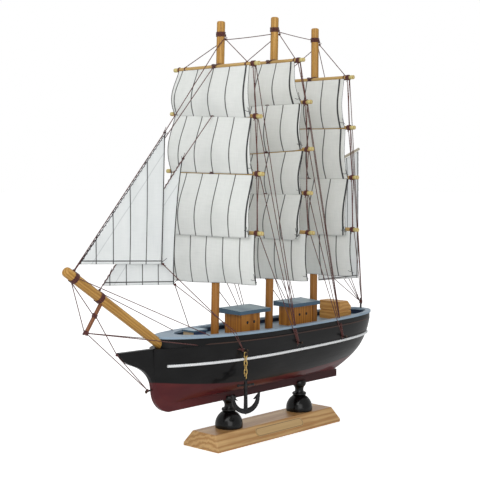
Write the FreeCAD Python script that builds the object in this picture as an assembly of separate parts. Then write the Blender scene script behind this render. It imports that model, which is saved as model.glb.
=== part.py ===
"""Model sailing ship: a carved three-masted square-rigger on a turned stand.

Frame: millimetres, +X toward the bow, +Y to port, +Z up, origin at the centre of the stand's underside.
"""
import FreeCAD
import Part
import math
import os

from FreeCAD import Vector

os.makedirs("parts", exist_ok=True)

UP = Vector(0, 0, 1)
PORT = Vector(0, 1, 0)
SIDES = (1, -1)
REACH = 400.0          # longer than the ship: the size of cutting slabs

# Stand
BASE_LENGTH = 140.0
BASE_WIDTH = 36.0
BASE_HEIGHT = 11.5
BASE_BAND = 2.5        # straight band below the bevels
BASE_END_BEVEL = 3.4
BASE_SIDE_BEVEL = 6.2
BASE_EDGE_ROUND = 0.5
LABEL_LENGTH = 54.0
LABEL_HEIGHT = 7.0
LABEL_THICK = 0.3
PILLAR_SPACING = 80.6
DOME_RADIUS = 10.9
DOME_HEIGHT = 12.3
COLLAR_RADIUS = 5.6
COLLAR_HEIGHT = 2.4
NECK_RADIUS = 3.9
NECK_HEIGHT = 5.2
CAP_RADIUS = 5.4
CAP_HEIGHT = 4.2
KEEL_SLOT_DEPTH = 2.6
SCREW_RADIUS = 1.2
SCREW_HEAD_RADIUS = 2.4
SCREW_HEAD_HEIGHT = 1.6
SCREW_HEAD_INSET = 1.0
SCREW_BITE = 3.6       # thread length in the keel
SCREW_GAP = 0.1
SLOT_GAP = 0.08
GLUE_GAP = 0.04

# Hull
BOW_X = 117.0
STERN_X = -121.5
MID_X = 17.0
HALF_BEAM = 26.2
KEEL_Z = BASE_HEIGHT + DOME_HEIGHT + COLLAR_HEIGHT + NECK_HEIGHT + CAP_HEIGHT - KEEL_SLOT_DEPTH
KEEL_DEPTH = 6.0
KEEL_THICK = 3.4
KEEL_BOW_X = BOW_X - 27.0      # where the stem is scarfed to the keel
KEEL_STERN_X = STERN_X + 36.0
HULL_DEPTH = 53.0      # keel top to the height where the breadth is stated
HULL_Z = KEEL_Z + KEEL_DEPTH
DECK_DEPTH = 40.6      # keel top to the carved block's flat top
DECK_BED_Z = HULL_Z + DECK_DEPTH
DECK_THICK = 1.5
DECK_Z = DECK_BED_Z + DECK_THICK
BOW_RAKE = 14.0        # how far the bow line falls back at the keel
STERN_RAKE = 40.0
STERN_ROUND = 4.5      # how suddenly the stern's end sweeps in toward the keel
BULWARK_THICK = 2.2
RAIL_OVERHANG = 0.9
RAIL_INSET = 1.2
RAIL_THICK = 1.6
RAIL_BOW_RISE = 7.4    # rail top above the deck board
RAIL_MID_RISE = 4.3
RAIL_STERN_RISE = 5.5
RAIL_LOW_X = -20.0
RAIL_BOW_X = BOW_X - 5.0       # forward tip of the bulwark, behind the beak
RAIL_BOW_FORM = 0.5    # roundness of the bulwark's bow: half is an ellipse
HULL_BOW_FORM = 0.57
FOREDECK_X = BOW_X - 20.0      # where the opening inside the rail begins
WALE_DEPTH = 14.0      # wale below the deck board at midships
WALE_SHEER = 1.7
WALE_HEIGHT = 1.9
WALE_PROUD = 1.5
MOULDING_HEIGHT = 0.8
MOULDING_PROUD = 0.7

# Stem and bowsprit
STEM_THICK = KEEL_THICK
STEM_FOOT_X = BOW_X - 14.0
BEAK_TIP = Vector(BOW_X + 30.9, 0, KEEL_Z + 47.2)
SPRIT_RADIUS = 3.4
SPRIT_ROOT = Vector(BOW_X - 7.5, 0, KEEL_Z + 48.6)
SPRIT_TIP = Vector(BOW_X + 75.3, 0, KEEL_Z + 106.5)
STRIKER_RADIUS = 1.35
STRIKER_LENGTH = 23.0
STRIKER_PLACE = 0.62   # share of the bowsprit's length
STRIKER_SEAT = 1.5
STRIKER_LASH = 0.42    # share of the striker's length, from its top
NAIL_RADIUS = 0.55
HEAD_RADIUS = 1.1      # nail's head
HEAD_THICK = 0.5

# Deck pieces: (forward x, aft x, half width)
HATCH = (82.0, 69.5, 5.2)
HATCH_HEIGHT = 6.6
HATCH_LID_THICK = 1.2
HATCH_LID_LAP = 0.8
FORE_CABIN = (36.0, 15.5, 8.5)
AFT_CABIN = (-24.0, -47.0, 7.4)
CABIN_HEIGHT = 15.2
ROOF_THICK = 2.7       # at the port edge
ROOF_LEAN = 1.2        # how much thicker the board is at its starboard edge
FORE_ROOF = (39.6, 6.0, 11.0)
AFT_ROOF = (-20.6, -53.6, 10.2)
PORTHOLE_RADIUS = 0.95
PORTHOLE_DEPTH = 1.5
PORTHOLE_Z = 8.6
PORTHOLE_SHARES = (0.335, 0.69)    # of the cabin's length, from its forward end
STERN_HOUSE = (-78.0, -93.0, 10.4)
STERN_HOUSE_HEIGHT = 14.8
STERN_HOUSE_CHAMFER = 4.5
GROOVE_SIZE = 0.7

# Masts: foot x and head x, head height above the deck board
MAST_RADIUS = 3.0
MAST_SEAT = 12.0
MAST_ROUND = 1.2
MASTS = {
    "fore": (55.4, 48.2, 229.7),
    "main": (-3.8, -10.2, 238.0),
    "mizzen": (-57.5, -58.0, 233.6),
}

# Yards from the top down: height above the deck board, half length, tilt in degrees (port end up)
YARD_RADIUS = 1.5
YARD_GAP = 0.15
YARDS = {
    "fore": ((196.6, 43.0, 0.4), (161.8, 46.0, -2.6), (120.4, 49.0, -0.9), (77.8, 49.6, 0.3)),
    "main": ((203.3, 34.0, 0.3), (171.8, 42.0, 0.5), (135.6, 44.5, 2.6), (104.6, 44.5, 0.6), (76.1, 47.0, -0.4)),
    "mizzen": ((192.7, 42.5, 0.2), (154.8, 44.0, -0.6), (115.7, 47.5, 0.5), (76.1, 48.0, -0.3)),
}
KNOT_INSET = 5.5       # yardarm knot in from the yard's end
KNOT_LENGTH = 2.2
KNOT_THICK = 0.5
LASHING_HEIGHT = 3.2
LASHING_THICK = 0.55

# Sails
CLOTH_THICK = 0.5
CLOTH_GAP = 0.06
SAIL_BILLOW = 4.6
SAIL_INSET = 8.0       # sail's side edge in from the yard's end
COURSE_INSET = 5.5     # the same for the lowest sail
HEAD_DROP = 1.1        # sail's upper edge below its yard's axis
FOOT_DROP = 0.3        # sail's lower edge below the axis of the next yard
TOPSAIL_HANG = {"fore": 3.5, "main": 6.0, "mizzen": 5.0}   # the same where the next yard is the lowest
TOPSAIL_CLEAR = 1.8    # topsail's foot in front of the lowest sail's head
FREE_DROP = 36.5       # lowest sail, from its yard to the free edge
FREE_LEAN = {"fore": -2.2, "main": -2.2, "mizzen": -3.2}   # lowest sail's foot forward of its head
FREE_BILLOW = 2.0
SAIL_NAMES = {
    "fore": ("fore_royal", "fore_topgallant", "fore_topsail", "fore_course"),
    "main": ("main_skysail", "main_royal", "main_topgallant", "main_topsail", "main_course"),
    "mizzen": ("mizzen_royal", "mizzen_topgallant", "mizzen_topsail", "mizzen_course"),
}
GAFF_RADIUS = 1.1
GAFF_PEAK = Vector(-115.5, 0, KEEL_Z + 187.0)
GAFF_THROAT_Z = KEEL_Z + 167.5
GAFF_GAP = 0.7
SPANKER_FOOT_Z = KEEL_Z + 80.5
SPANKER_CLEW_Z = KEEL_Z + 79.0
SPANKER_GAP = 0.5

# Rigging thread
THREAD_RADIUS = 0.22
MASTHEAD_DROP = 9.5    # lashing below the mast's head
STAY_DROP = 18.5       # fore stay's lashing below the mast's head
WRAP_THICK = 0.55
WRAP_LENGTH = 3.6
SPRIT_WRAPS = (0.652, 0.907)   # shares of the bowsprit's length
LIFT_PLACES = {"fore": 31.0, "main": 25.0, "mizzen": 34.0}
END_KNOT_RADIUS = 0.75
STAY_SAIL_GAP = 0.35
FOOT_CLEAR = 0.6       # backstay in front of and below a lowest sail's foot
RAIL_BEND_SHARE = 0.80 # where the jib sheets cross the rail, from the clew to the channel
RAIL_BEND_CLEAR = 0.6
OUTER_HEAD = Vector(104.5, 0, KEEL_Z + 196.4)
INNER_HEAD = Vector(86.5, 0, KEEL_Z + 178.6)
OUTER_JIB = (0.955, 108.7, 4.5, 1.0)     # tack along the luff, clew's station, clew's drop, side
INNER_JIB = (0.965, 95.8, 4.2, -0.6)
CHANNEL_PLACES = {"fore": (49.5, KEEL_Z + 40.2), "main": (-10.5, KEEL_Z + 39.0), "mizzen": (-68.0, KEEL_Z + 37.0)}
CHANNEL_STANDOFF = 3.2
CHANNEL_SEAT = 3.0
STEM_NAIL_Z = KEEL_Z + 18.0
STEM_NAIL_REACH = 5.5  # the nail's ends before and behind the bow's station
STEM_NAIL_DIP = 1.0
POST_RADIUS = 0.8
POST_X = STERN_X + 1.7
POST_HEIGHT = 8.0
POST_SEAT = 3.0

# Anchor and its chain
LINK_COUNT = 6
LINK_WIRE = 0.4        # wire radius
LINK_HALF_WIDTH = 1.05 # centre line
LINK_HALF_STRAIGHT = 0.95
LINK_PLAY = 0.12       # gap between two links' wires
ANCHOR_THICK = 1.7
ANCHOR_SHANK = 23.6
ANCHOR_SHANK_WIDTH = 2.2
ANCHOR_ARM_RADIUS = 11.0
ANCHOR_STOCK = 12.0
ANCHOR_EYE_HOLE = 1.0
ANCHOR_EYE_RADIUS = 1.9
ANCHOR_EYE_THICK = 0.8
ANCHOR_PLAY = 0.25     # gap between the last link's wire and the eye
ANCHOR_ARM_LIFT = 4.0  # degrees from the arms' tips up to level with their centre
ANCHOR_TURN = -20.0    # the chain's plane about +Z, away from the ship's side
CHAIN_STANDOFF = 3.6   # chain's centre line outboard of the hull's side
CHAIN_AHEAD = 0.6      # the chain's nail ahead of the fore channel, and below it
CHAIN_BELOW = 2.2
HOOK_REACH = 1.3       # nail's shank beyond the chain's centre line
STOCK_RADIUS = 0.75
STOCK_KNOB = 1.05


def save(name, shape):
    """Writes one piece, or one group of like pieces, to its own file."""
    shape.exportStep("parts/" + name + ".step")


def joined(solids):
    """One shape from many solids, fused where they touch."""
    first = solids[0]
    return first.multiFuse(solids[1:]) if len(solids) > 1 else first


def rod(start, end, radius):
    """A round rod from start to end."""
    run = end - start
    return Part.makeCylinder(radius, run.Length, start, run)


def block(front_x, back_x, half_width, bottom, top):
    """A box between two stations, centred across the ship."""
    corner = Vector(back_x, -half_width, bottom)
    return Part.makeBox(front_x - back_x, 2 * half_width, top - bottom, corner)


def side_plate(wire, thick):
    """A plate from a closed side-view wire, centred across the ship."""
    face = Part.Face(wire)
    plate = face.extrude(Vector(0, thick, 0))
    plate.translate(Vector(0, -thick / 2, 0))
    return plate


def spline(points):
    """A smooth edge through the points."""
    curve = Part.BSplineCurve()
    curve.interpolate(points)
    return curve.toShape()


def polygon(points):
    """A closed wire of straight edges."""
    return Part.makePolygon(points + [points[0]])


def rise(height):
    """Share of the hull's depth at a height above the keel top."""
    return min(1.0, max(0.0, (height - HULL_Z) / HULL_DEPTH))


def bow_line(height):
    """Station of the hull's forward edge at a height."""
    return BOW_X - BOW_RAKE * (1.0 - rise(height)) ** 6


def stern_line(height):
    """Station of the hull's after end at a height."""
    return STERN_X + STERN_RAKE * (1.0 - rise(height)) ** STERN_ROUND


def fullness(x, bow_x, stern_x, share, bow_form=HULL_BOW_FORM):
    """Share of the full breadth at station x: a fine bow, a full round stern, both finer lower down."""
    if x >= MID_X:
        along = min(1.0, (x - MID_X) / (bow_x - MID_X))
        return (1.0 - along ** 2) ** (bow_form + 0.7 * (1.0 - share) ** 2)
    along = min(1.0, (MID_X - x) / (MID_X - stern_x))
    power = 2.6 + 4.4 * share
    return (1.0 - 0.15 * along) * (1.0 - along ** power) ** (0.4 + 0.5 * (1.0 - share) ** 2)


def widest(height):
    """Half the hull's breadth amidships at a height."""
    return max(KEEL_THICK / 2, HALF_BEAM * (1.0 - (1.0 - rise(height)) ** 2) ** 0.42)


def half_breadth(x, height):
    """Half the hull's breadth at a station and a height."""
    edge = KEEL_THICK / 2
    form = fullness(x, bow_line(height), stern_line(height), rise(height))
    return edge + (widest(height) - edge) * form


def stations(bow_x, stern_x, count):
    """Stations from bow to stern, closer together at both ends."""
    middle = (bow_x + stern_x) / 2
    return [middle + (bow_x - stern_x) / 2 * math.cos(math.pi * i / (count - 1)) for i in range(count)]


def hull_ring(height):
    """One waterline of the hull as a closed wire."""
    xs = stations(bow_line(height), stern_line(height), 21)
    port = [Vector(x, half_breadth(x, height), height) for x in xs]
    starboard = [Vector(p.x, -p.y, p.z) for p in port]
    edges = [
        Part.LineSegment(starboard[0], port[0]).toShape(),
        spline(port),
        Part.LineSegment(port[-1], starboard[-1]).toShape(),
        spline(starboard[::-1]),
    ]
    return Part.Wire(edges)


def hull_form():
    """The whole carved form, from the keel's top to above the rail."""
    shares = (0.0, 0.012, 0.045, 0.11, 0.21, 0.36, 0.56, 0.78, 1.0)
    rings = [hull_ring(HULL_Z + HULL_DEPTH * share) for share in shares]
    return Part.makeLoft(rings, True, False)


def plan_prism(height, outset, bow_x=None, stern_x=None, bow_form=HULL_BOW_FORM):
    """An upright prism on the hull's outline at a height, moved outward by outset."""
    front = bow_x or bow_line(height) + outset
    back = stern_x or stern_line(height) - outset
    breadth = widest(height) + outset
    xs = stations(front, back, 25)
    port = [Vector(x, breadth * fullness(x, front, back, rise(height), bow_form), HULL_Z - 5) for x in xs]
    starboard = [Vector(p.x, -p.y, p.z) for p in port[1:-1]]
    outline = spline(port + starboard[::-1] + [port[0]])
    return Part.Face(Part.Wire([outline])).extrude(Vector(0, 0, HULL_DEPTH + 20.0))


def arc_through(bow, middle, stern):
    """A side-view arc through three points."""
    return Part.Arc(bow, middle, stern).toShape()


def sheer_slab(bow_z, middle_z, stern_z, thick):
    """Everything between a sheer line and the same line thick lower, across the whole ship."""
    front = BOW_X + 40.0
    back = STERN_X - 10.0
    slope = (bow_z - middle_z) / (BOW_X - RAIL_LOW_X)
    top = [Vector(front, 0, bow_z + slope * 40.0), Vector(RAIL_LOW_X, 0, middle_z), Vector(back, 0, stern_z)]
    low = [Vector(p.x, 0, p.z - thick) for p in top]
    edges = [
        arc_through(*top),
        Part.LineSegment(top[2], low[2]).toShape(),
        arc_through(*low[::-1]),
        Part.LineSegment(low[0], top[0]).toShape(),
    ]
    return side_plate(Part.Wire(edges), REACH)


def rail_slab(drop, thick):
    """A slab under the rail's top, lowered by drop."""
    return sheer_slab(
        DECK_Z + RAIL_BOW_RISE - drop,
        DECK_Z + RAIL_MID_RISE - drop,
        DECK_Z + RAIL_STERN_RISE - drop,
        thick,
    )


def rail_prism(outset):
    """An upright prism on the rail's outline, moved outward by outset."""
    return plan_prism(DECK_Z + RAIL_MID_RISE, outset, RAIL_BOW_X + outset, None, RAIL_BOW_FORM)


def inner_prism(inset):
    """The space inside the bulwark, drawn in by inset; it stops short of the solid foredeck."""
    level = DECK_Z + RAIL_MID_RISE
    return plan_prism(level, -inset, FOREDECK_X - inset, STERN_X + inset * 1.2, RAIL_BOW_FORM)


def stem_blank(thick):
    """The cutwater: beak, hollow front, round forefoot, and the part let into the bow."""
    foot = Vector(STEM_FOOT_X, 0, KEEL_Z)
    front = spline([
        BEAK_TIP,
        Vector(BEAK_TIP.x - 5.4, 0, BEAK_TIP.z - 7.0),
        Vector(BOW_X + 12.6, 0, KEEL_Z + 34.3),
        Vector(BOW_X + 1.6, 0, KEEL_Z + 22.5),
        Vector(BOW_X - 0.4, 0, KEEL_Z + 11.8),
        Vector(BOW_X - 5.0, 0, KEEL_Z + 4.6),
        foot,
    ])
    corners = [
        foot,
        Vector(KEEL_BOW_X, 0, KEEL_Z),
        Vector(KEEL_BOW_X, 0, HULL_Z),
        Vector(BOW_X - 19.0, 0, HULL_Z + 5.0),
        Vector(BOW_X - 10.0, 0, HULL_Z + 18.0),
        Vector(BOW_X - 9.0, 0, DECK_BED_Z),
        Vector(BOW_X + 1.0, 0, DECK_BED_Z),
        BEAK_TIP,
    ]
    back = [Part.LineSegment(a, b).toShape() for a, b in zip(corners, corners[1:])]
    return side_plate(Part.Wire([front] + back), thick)


def mast_line(name, height):
    """Centre of a mast at a height."""
    foot_x, head_x, head_rise = MASTS[name]
    share = (height - DECK_Z) / head_rise
    return Vector(foot_x + (head_x - foot_x) * share, 0, height)


def mast_rod(name, radius):
    """A mast's dowel, from its seat in the hull to its head."""
    foot = mast_line(name, DECK_BED_Z - MAST_SEAT)
    head = mast_line(name, DECK_Z + MASTS[name][2])
    return rod(foot, head, radius)


def sprit_rod(radius):
    """The bowsprit's dowel."""
    return rod(SPRIT_ROOT, SPRIT_TIP, radius)


def rounded_end(shape, end, radius):
    """The shape with the round edge at one end eased."""
    edges = [e for e in shape.Edges if e.Closed and (e.BoundBox.Center - end).Length < 0.1]
    return shape.makeFillet(radius, edges)


def pillar_x(end):
    """Station of a pillar: end is 1 at the bow and -1 at the stern."""
    return end * PILLAR_SPACING / 2


def stand_screw(end, gap=0.0):
    """A wood screw from under the base into the keel; gap widens it into its own hole."""
    x = pillar_x(end)
    head = Part.makeCylinder(SCREW_HEAD_RADIUS + gap, SCREW_HEAD_HEIGHT + gap, Vector(x, 0, SCREW_HEAD_INSET))
    tip = KEEL_Z + SCREW_BITE
    shank = Part.makeCylinder(SCREW_RADIUS + gap, tip - SCREW_HEAD_INSET, Vector(x, 0, SCREW_HEAD_INSET))
    return head.fuse(shank)


def make_base():
    """The stand's bevelled foot with two counterbored screw holes."""
    length = BASE_LENGTH / 2
    width = BASE_WIDTH / 2
    low = polygon([Vector(sx * length, sy * width, BASE_BAND) for sx, sy in ((1, 1), (-1, 1), (-1, -1), (1, -1))])
    length -= BASE_END_BEVEL
    width -= BASE_SIDE_BEVEL
    high = polygon([Vector(sx * length, sy * width, BASE_HEIGHT) for sx, sy in ((1, 1), (-1, 1), (-1, -1), (1, -1))])
    band = block(BASE_LENGTH / 2, -BASE_LENGTH / 2, BASE_WIDTH / 2, 0, BASE_BAND)
    base = band.fuse(Part.makeLoft([low, high], True, True)).removeSplitter()
    base = base.makeFillet(BASE_EDGE_ROUND, [e for e in base.Edges if e.BoundBox.ZMin > BASE_BAND - 0.1])
    for end in SIDES:
        base = base.cut(stand_screw(end, SCREW_GAP))
        opening = Part.makeCylinder(SCREW_HEAD_RADIUS + SCREW_GAP, SCREW_HEAD_INSET, Vector(pillar_x(end), 0, 0))
        base = base.cut(opening)
    return base


def make_label():
    """A blank oval-ended label lying on the base's port bevel."""
    slope = math.atan2(BASE_HEIGHT - BASE_BAND, BASE_SIDE_BEVEL)
    radius = LABEL_HEIGHT / 2
    half = LABEL_LENGTH / 2 - radius
    left = Vector(-half, 0, 0)
    right = Vector(half, 0, 0)
    up = Vector(0, radius, 0)
    edges = [
        Part.LineSegment(left - up, right - up).toShape(),
        Part.Arc(right - up, right + Vector(radius, 0, 0), right + up).toShape(),
        Part.LineSegment(right + up, left + up).toShape(),
        Part.Arc(left + up, left - Vector(radius, 0, 0), left - up).toShape(),
    ]
    label = Part.Face(Part.Wire(edges)).extrude(Vector(0, 0, LABEL_THICK))
    label.rotate(Vector(0, 0, 0), Vector(1, 0, 0), 180 - math.degrees(slope))
    middle = Vector(0, BASE_WIDTH / 2 - BASE_SIDE_BEVEL / 2, (BASE_BAND + BASE_HEIGHT) / 2)
    normal = Vector(0, math.sin(slope), math.cos(slope))
    label.translate(middle + normal * (LABEL_THICK + GLUE_GAP / 2))
    return label


def make_pillar(end):
    """A turned pillar: dome, collar, waisted neck, and a flared cap slotted for the keel."""
    dome_top = DOME_HEIGHT
    collar_top = dome_top + COLLAR_HEIGHT
    neck_top = collar_top + NECK_HEIGHT
    top = neck_top + CAP_HEIGHT
    shoulder = Vector(DOME_RADIUS * 0.80, 0, dome_top * 0.66)
    profile = [
        Part.LineSegment(Vector(0, 0, 0), Vector(DOME_RADIUS - 0.6, 0, 0)).toShape(),
        Part.Arc(Vector(DOME_RADIUS - 0.6, 0, 0), shoulder, Vector(NECK_RADIUS + 0.4, 0, dome_top)).toShape(),
        Part.Arc(
            Vector(NECK_RADIUS + 0.4, 0, dome_top),
            Vector(COLLAR_RADIUS, 0, dome_top + COLLAR_HEIGHT / 2),
            Vector(NECK_RADIUS, 0, collar_top),
        ).toShape(),
        Part.Arc(
            Vector(NECK_RADIUS, 0, collar_top),
            Vector(NECK_RADIUS - 0.5, 0, collar_top + NECK_HEIGHT * 0.45),
            Vector(CAP_RADIUS - 0.7, 0, neck_top),
        ).toShape(),
        Part.Arc(
            Vector(CAP_RADIUS - 0.7, 0, neck_top),
            Vector(CAP_RADIUS, 0, neck_top + CAP_HEIGHT * 0.55),
            Vector(CAP_RADIUS - 0.6, 0, top),
        ).toShape(),
        Part.LineSegment(Vector(CAP_RADIUS - 0.6, 0, top), Vector(0, 0, top)).toShape(),
        Part.LineSegment(Vector(0, 0, top), Vector(0, 0, 0)).toShape(),
    ]
    pillar = Part.Face(Part.Wire(profile)).revolve(Vector(0, 0, 0), UP, 360)
    pillar.translate(Vector(pillar_x(end), 0, BASE_HEIGHT))
    x = pillar_x(end)
    slot = block(x + 20.0, x - 20.0, KEEL_THICK / 2 + SLOT_GAP, KEEL_Z, KEEL_Z + 20.0)
    return pillar.cut(slot).cut(stand_screw(end, SCREW_GAP))


def make_keel():
    """The keel bar, between the stem's foot and the hull's after end."""
    keel = block(KEEL_BOW_X, KEEL_STERN_X, KEEL_THICK / 2, KEEL_Z, HULL_Z)
    for end in SIDES:
        keel = keel.cut(stand_screw(end, GLUE_GAP))
    return keel


def make_hull(form):
    """The carved block with a flat top and the seats of the stem, the bowsprit and the masts."""
    top = block(REACH, -REACH, REACH, DECK_BED_Z, DECK_BED_Z + REACH)
    hull = form.cut(top)
    hull = hull.cut(stem_blank(STEM_THICK + 2 * GLUE_GAP))
    hull = hull.cut(sprit_rod(SPRIT_RADIUS + GLUE_GAP))
    for name in MASTS:
        hull = hull.cut(mast_rod(name, MAST_RADIUS + GLUE_GAP))
    for seat in nail_seats():
        hull = hull.cut(seat)
    return hull.cut(post_rod(POST_RADIUS + GLUE_GAP))


def make_stem():
    """The cutwater with the bowsprit's seat and the nail's hole."""
    return stem_blank(STEM_THICK).cut(sprit_rod(SPRIT_RADIUS + GLUE_GAP)).cut(stem_nail(NAIL_RADIUS + GLUE_GAP))


def make_bulwark(form):
    """The low wall round the deck, solid at the foredeck."""
    wall = form.common(block(REACH, -REACH, REACH, DECK_BED_Z, DECK_BED_Z + REACH))
    wall = wall.common(rail_prism(0.0)).cut(inner_prism(BULWARK_THICK))
    wall = wall.cut(rail_slab(RAIL_THICK - REACH, REACH))
    wall = wall.cut(sprit_rod(SPRIT_RADIUS + GLUE_GAP))
    return wall.cut(post_rod(POST_RADIUS + GLUE_GAP))


def make_cap_rail():
    """The flat strip on the bulwark, lapping over it on both sides."""
    ring = rail_prism(RAIL_OVERHANG).cut(inner_prism(BULWARK_THICK + RAIL_INSET))
    ring = ring.common(rail_slab(0.0, RAIL_THICK))
    ring = ring.cut(sprit_rod(SPRIT_RADIUS + GLUE_GAP))
    return ring.cut(post_rod(POST_RADIUS + GLUE_GAP))


def make_deck():
    """The deck board inside the bulwark, holed for the masts."""
    deck = inner_prism(BULWARK_THICK + GLUE_GAP).common(block(REACH, -REACH, REACH, DECK_BED_Z, DECK_Z))
    for name in MASTS:
        deck = deck.cut(mast_rod(name, MAST_RADIUS + GLUE_GAP))
    return deck


def make_wale(form):
    """The rope strip along both sides and round the stern."""
    middle = DECK_Z - WALE_DEPTH
    ring = plan_prism(middle, WALE_PROUD)
    ring = ring.common(sheer_slab(middle + WALE_SHEER, middle, middle + WALE_SHEER, WALE_HEIGHT))
    ring = ring.cut(block(REACH, BOW_X - 6.5, REACH, 0, REACH))
    return ring.cut(form)


def make_moulding(form):
    """The thin edge of the bulwark strip on the hull's sides."""
    ring = plan_prism(DECK_BED_Z, MOULDING_PROUD)
    ring = ring.common(rail_slab(RAIL_MID_RISE + 1.4, MOULDING_HEIGHT))
    ring = ring.cut(block(REACH, BOW_X - 6.5, REACH, 0, REACH))
    return ring.cut(form)


def make_hatch():
    """The small hatch's box."""
    front, back, half = HATCH
    return block(front, back, half, DECK_Z, DECK_Z + HATCH_HEIGHT)


def make_hatch_lid():
    """The hatch's lid."""
    front, back, half = HATCH
    lap = HATCH_LID_LAP
    top = DECK_Z + HATCH_HEIGHT
    return block(front + lap, back - lap, half + lap, top, top + HATCH_LID_THICK)


def make_cabin(place):
    """A cabin block with two blind portholes on each side."""
    front, back, half = place
    cabin = block(front, back, half, DECK_Z, DECK_Z + CABIN_HEIGHT)
    length = front - back
    for side in SIDES:
        for share in PORTHOLE_SHARES:
            mouth = Vector(front - length * share, side * half, DECK_Z + PORTHOLE_Z)
            inside = mouth - PORT * (side * PORTHOLE_DEPTH)
            cabin = cabin.cut(rod(mouth, inside, PORTHOLE_RADIUS))
    return cabin


def make_roof(place):
    """A cabin's overhanging roof board, a little thicker toward starboard."""
    front, back, half = place
    bottom = DECK_Z + CABIN_HEIGHT
    top = bottom + ROOF_THICK
    outline = [(half, bottom), (half, top), (-half, top + ROOF_LEAN), (-half, bottom), (half, bottom)]
    wire = Part.makePolygon([Vector(back, y, z) for y, z in outline])
    return Part.Face(wire).extrude(Vector(front - back, 0, 0))


def make_stern_house():
    """The stern block with a groove round it and a chamfered upper after edge."""
    front, back, half = STERN_HOUSE
    top = DECK_Z + STERN_HOUSE_HEIGHT
    house = block(front, back, half, DECK_Z, top)
    house = house.makeChamfer(STERN_HOUSE_CHAMFER, [
        e for e in house.Edges if e.BoundBox.XMax < back + 0.1 and e.BoundBox.ZMin > top - 0.1
    ])
    level = DECK_Z + STERN_HOUSE_HEIGHT * 0.45
    ring = block(front + 1, back - 1, half + 1, level, level + GROOVE_SIZE)
    core = block(front - GROOVE_SIZE, back + GROOVE_SIZE, half - GROOVE_SIZE, level, level + GROOVE_SIZE)
    return house.cut(ring.cut(core))


def make_mast(name):
    """A mast with an eased head."""
    head = mast_line(name, DECK_Z + MASTS[name][2])
    return rounded_end(mast_rod(name, MAST_RADIUS), head, MAST_ROUND)


def make_bowsprit():
    """The bowsprit with a rounded tip and the striker's hole."""
    sprit = rounded_end(sprit_rod(SPRIT_RADIUS), SPRIT_TIP, SPRIT_RADIUS * 0.7)
    return sprit.cut(striker_rod(STRIKER_RADIUS + GLUE_GAP))


def sprit_point(share):
    """A point on the bowsprit's centre line."""
    return SPRIT_ROOT + (SPRIT_TIP - SPRIT_ROOT) * share


def striker_ends():
    """Seat and foot of the dolphin striker, square to the bowsprit."""
    run = (SPRIT_TIP - SPRIT_ROOT).normalize()
    down = Vector(run.z, 0, -run.x)
    top = sprit_point(STRIKER_PLACE)
    return top + down * (SPRIT_RADIUS - STRIKER_SEAT), top + down * (SPRIT_RADIUS + STRIKER_LENGTH)


def striker_rod(radius):
    """The dolphin striker's stick."""
    top, foot = striker_ends()
    return rod(top, foot, radius)


def yard_x(name, height):
    """Station of a yard's centre line, just in front of its mast."""
    return mast_line(name, height).x + MAST_RADIUS + YARD_GAP + YARD_RADIUS


def yard_levels(name):
    """Heights of a mast's yards, from the top down."""
    return [DECK_Z + height for height, half, tilt in YARDS[name]]


def yard_rods(name, radius):
    """All the yards of a mast, as separate rods."""
    rods = []
    for height, half, tilt in YARDS[name]:
        level = DECK_Z + height
        middle = Vector(yard_x(name, level), 0, level)
        arm = Vector(0, half * math.cos(math.radians(tilt)), half * math.sin(math.radians(tilt)))
        rods.append(rod(middle - arm, middle + arm, radius))
    return rods


def yard_lashing(name, level, gap=0.0):
    """The block of wound thread that binds a yard to its mast."""
    mast = mast_line(name, level)
    half = MAST_RADIUS + LASHING_THICK + gap
    front = yard_x(name, level) + YARD_RADIUS + LASHING_THICK + gap
    height = LASHING_HEIGHT / 2 + gap
    wound = Part.makeCylinder(half, 2 * height, Vector(mast.x, 0, level - height))
    return wound.fuse(block(front, mast.x, half, level - height, level + height))


def make_yard_lashings():
    """Every yard's lashing, with the holes of its mast and its yard."""
    lashings = []
    for name in MASTS:
        tools = [mast_rod(name, MAST_RADIUS + GLUE_GAP)] + yard_rods(name, YARD_RADIUS + GLUE_GAP)
        for level in yard_levels(name):
            lashings.append(yard_lashing(name, level).cut(tools))
    return Part.makeCompound(lashings)


def sail_profile(top, bottom, billow):
    """Side view of a sail: two like arcs between its upper and lower edges, bellied forward."""
    middle = (top + bottom) * 0.5 + Vector(billow, 0, 0)
    skin = Vector(CLOTH_THICK, 0, 0)
    edges = [
        Part.Arc(top, middle, bottom).toShape(),
        Part.LineSegment(bottom, bottom + skin).toShape(),
        Part.Arc(bottom + skin, middle + skin, top + skin).toShape(),
        Part.LineSegment(top + skin, top).toShape(),
    ]
    return Part.Wire(edges)


def sail_edges(name, index):
    """Upper and lower edge of a square sail: centre point and half width of each."""
    levels = yard_levels(name)
    lowest = len(levels) - 1
    skin = YARD_RADIUS + CLOTH_GAP
    course = skin + KNOT_THICK
    inset = COURSE_INSET if index == lowest else SAIL_INSET
    half = YARDS[name][index][1] - inset
    level = levels[index] - HEAD_DROP
    front = yard_x(name, levels[index]) + (course if index == lowest else skin)
    top = Vector(front, 0, level)
    if index == lowest:
        return top, half, top + Vector(FREE_LEAN[name], 0, -FREE_DROP), half
    low = levels[index + 1]
    low_half = YARDS[name][index + 1][1] - SAIL_INSET
    if index + 1 == lowest:
        bottom = Vector(yard_x(name, low) + course + TOPSAIL_CLEAR, 0, low - TOPSAIL_HANG[name])
    else:
        bottom = Vector(yard_x(name, low) + skin, 0, low - FOOT_DROP)
    return top, half, bottom, low_half


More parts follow.
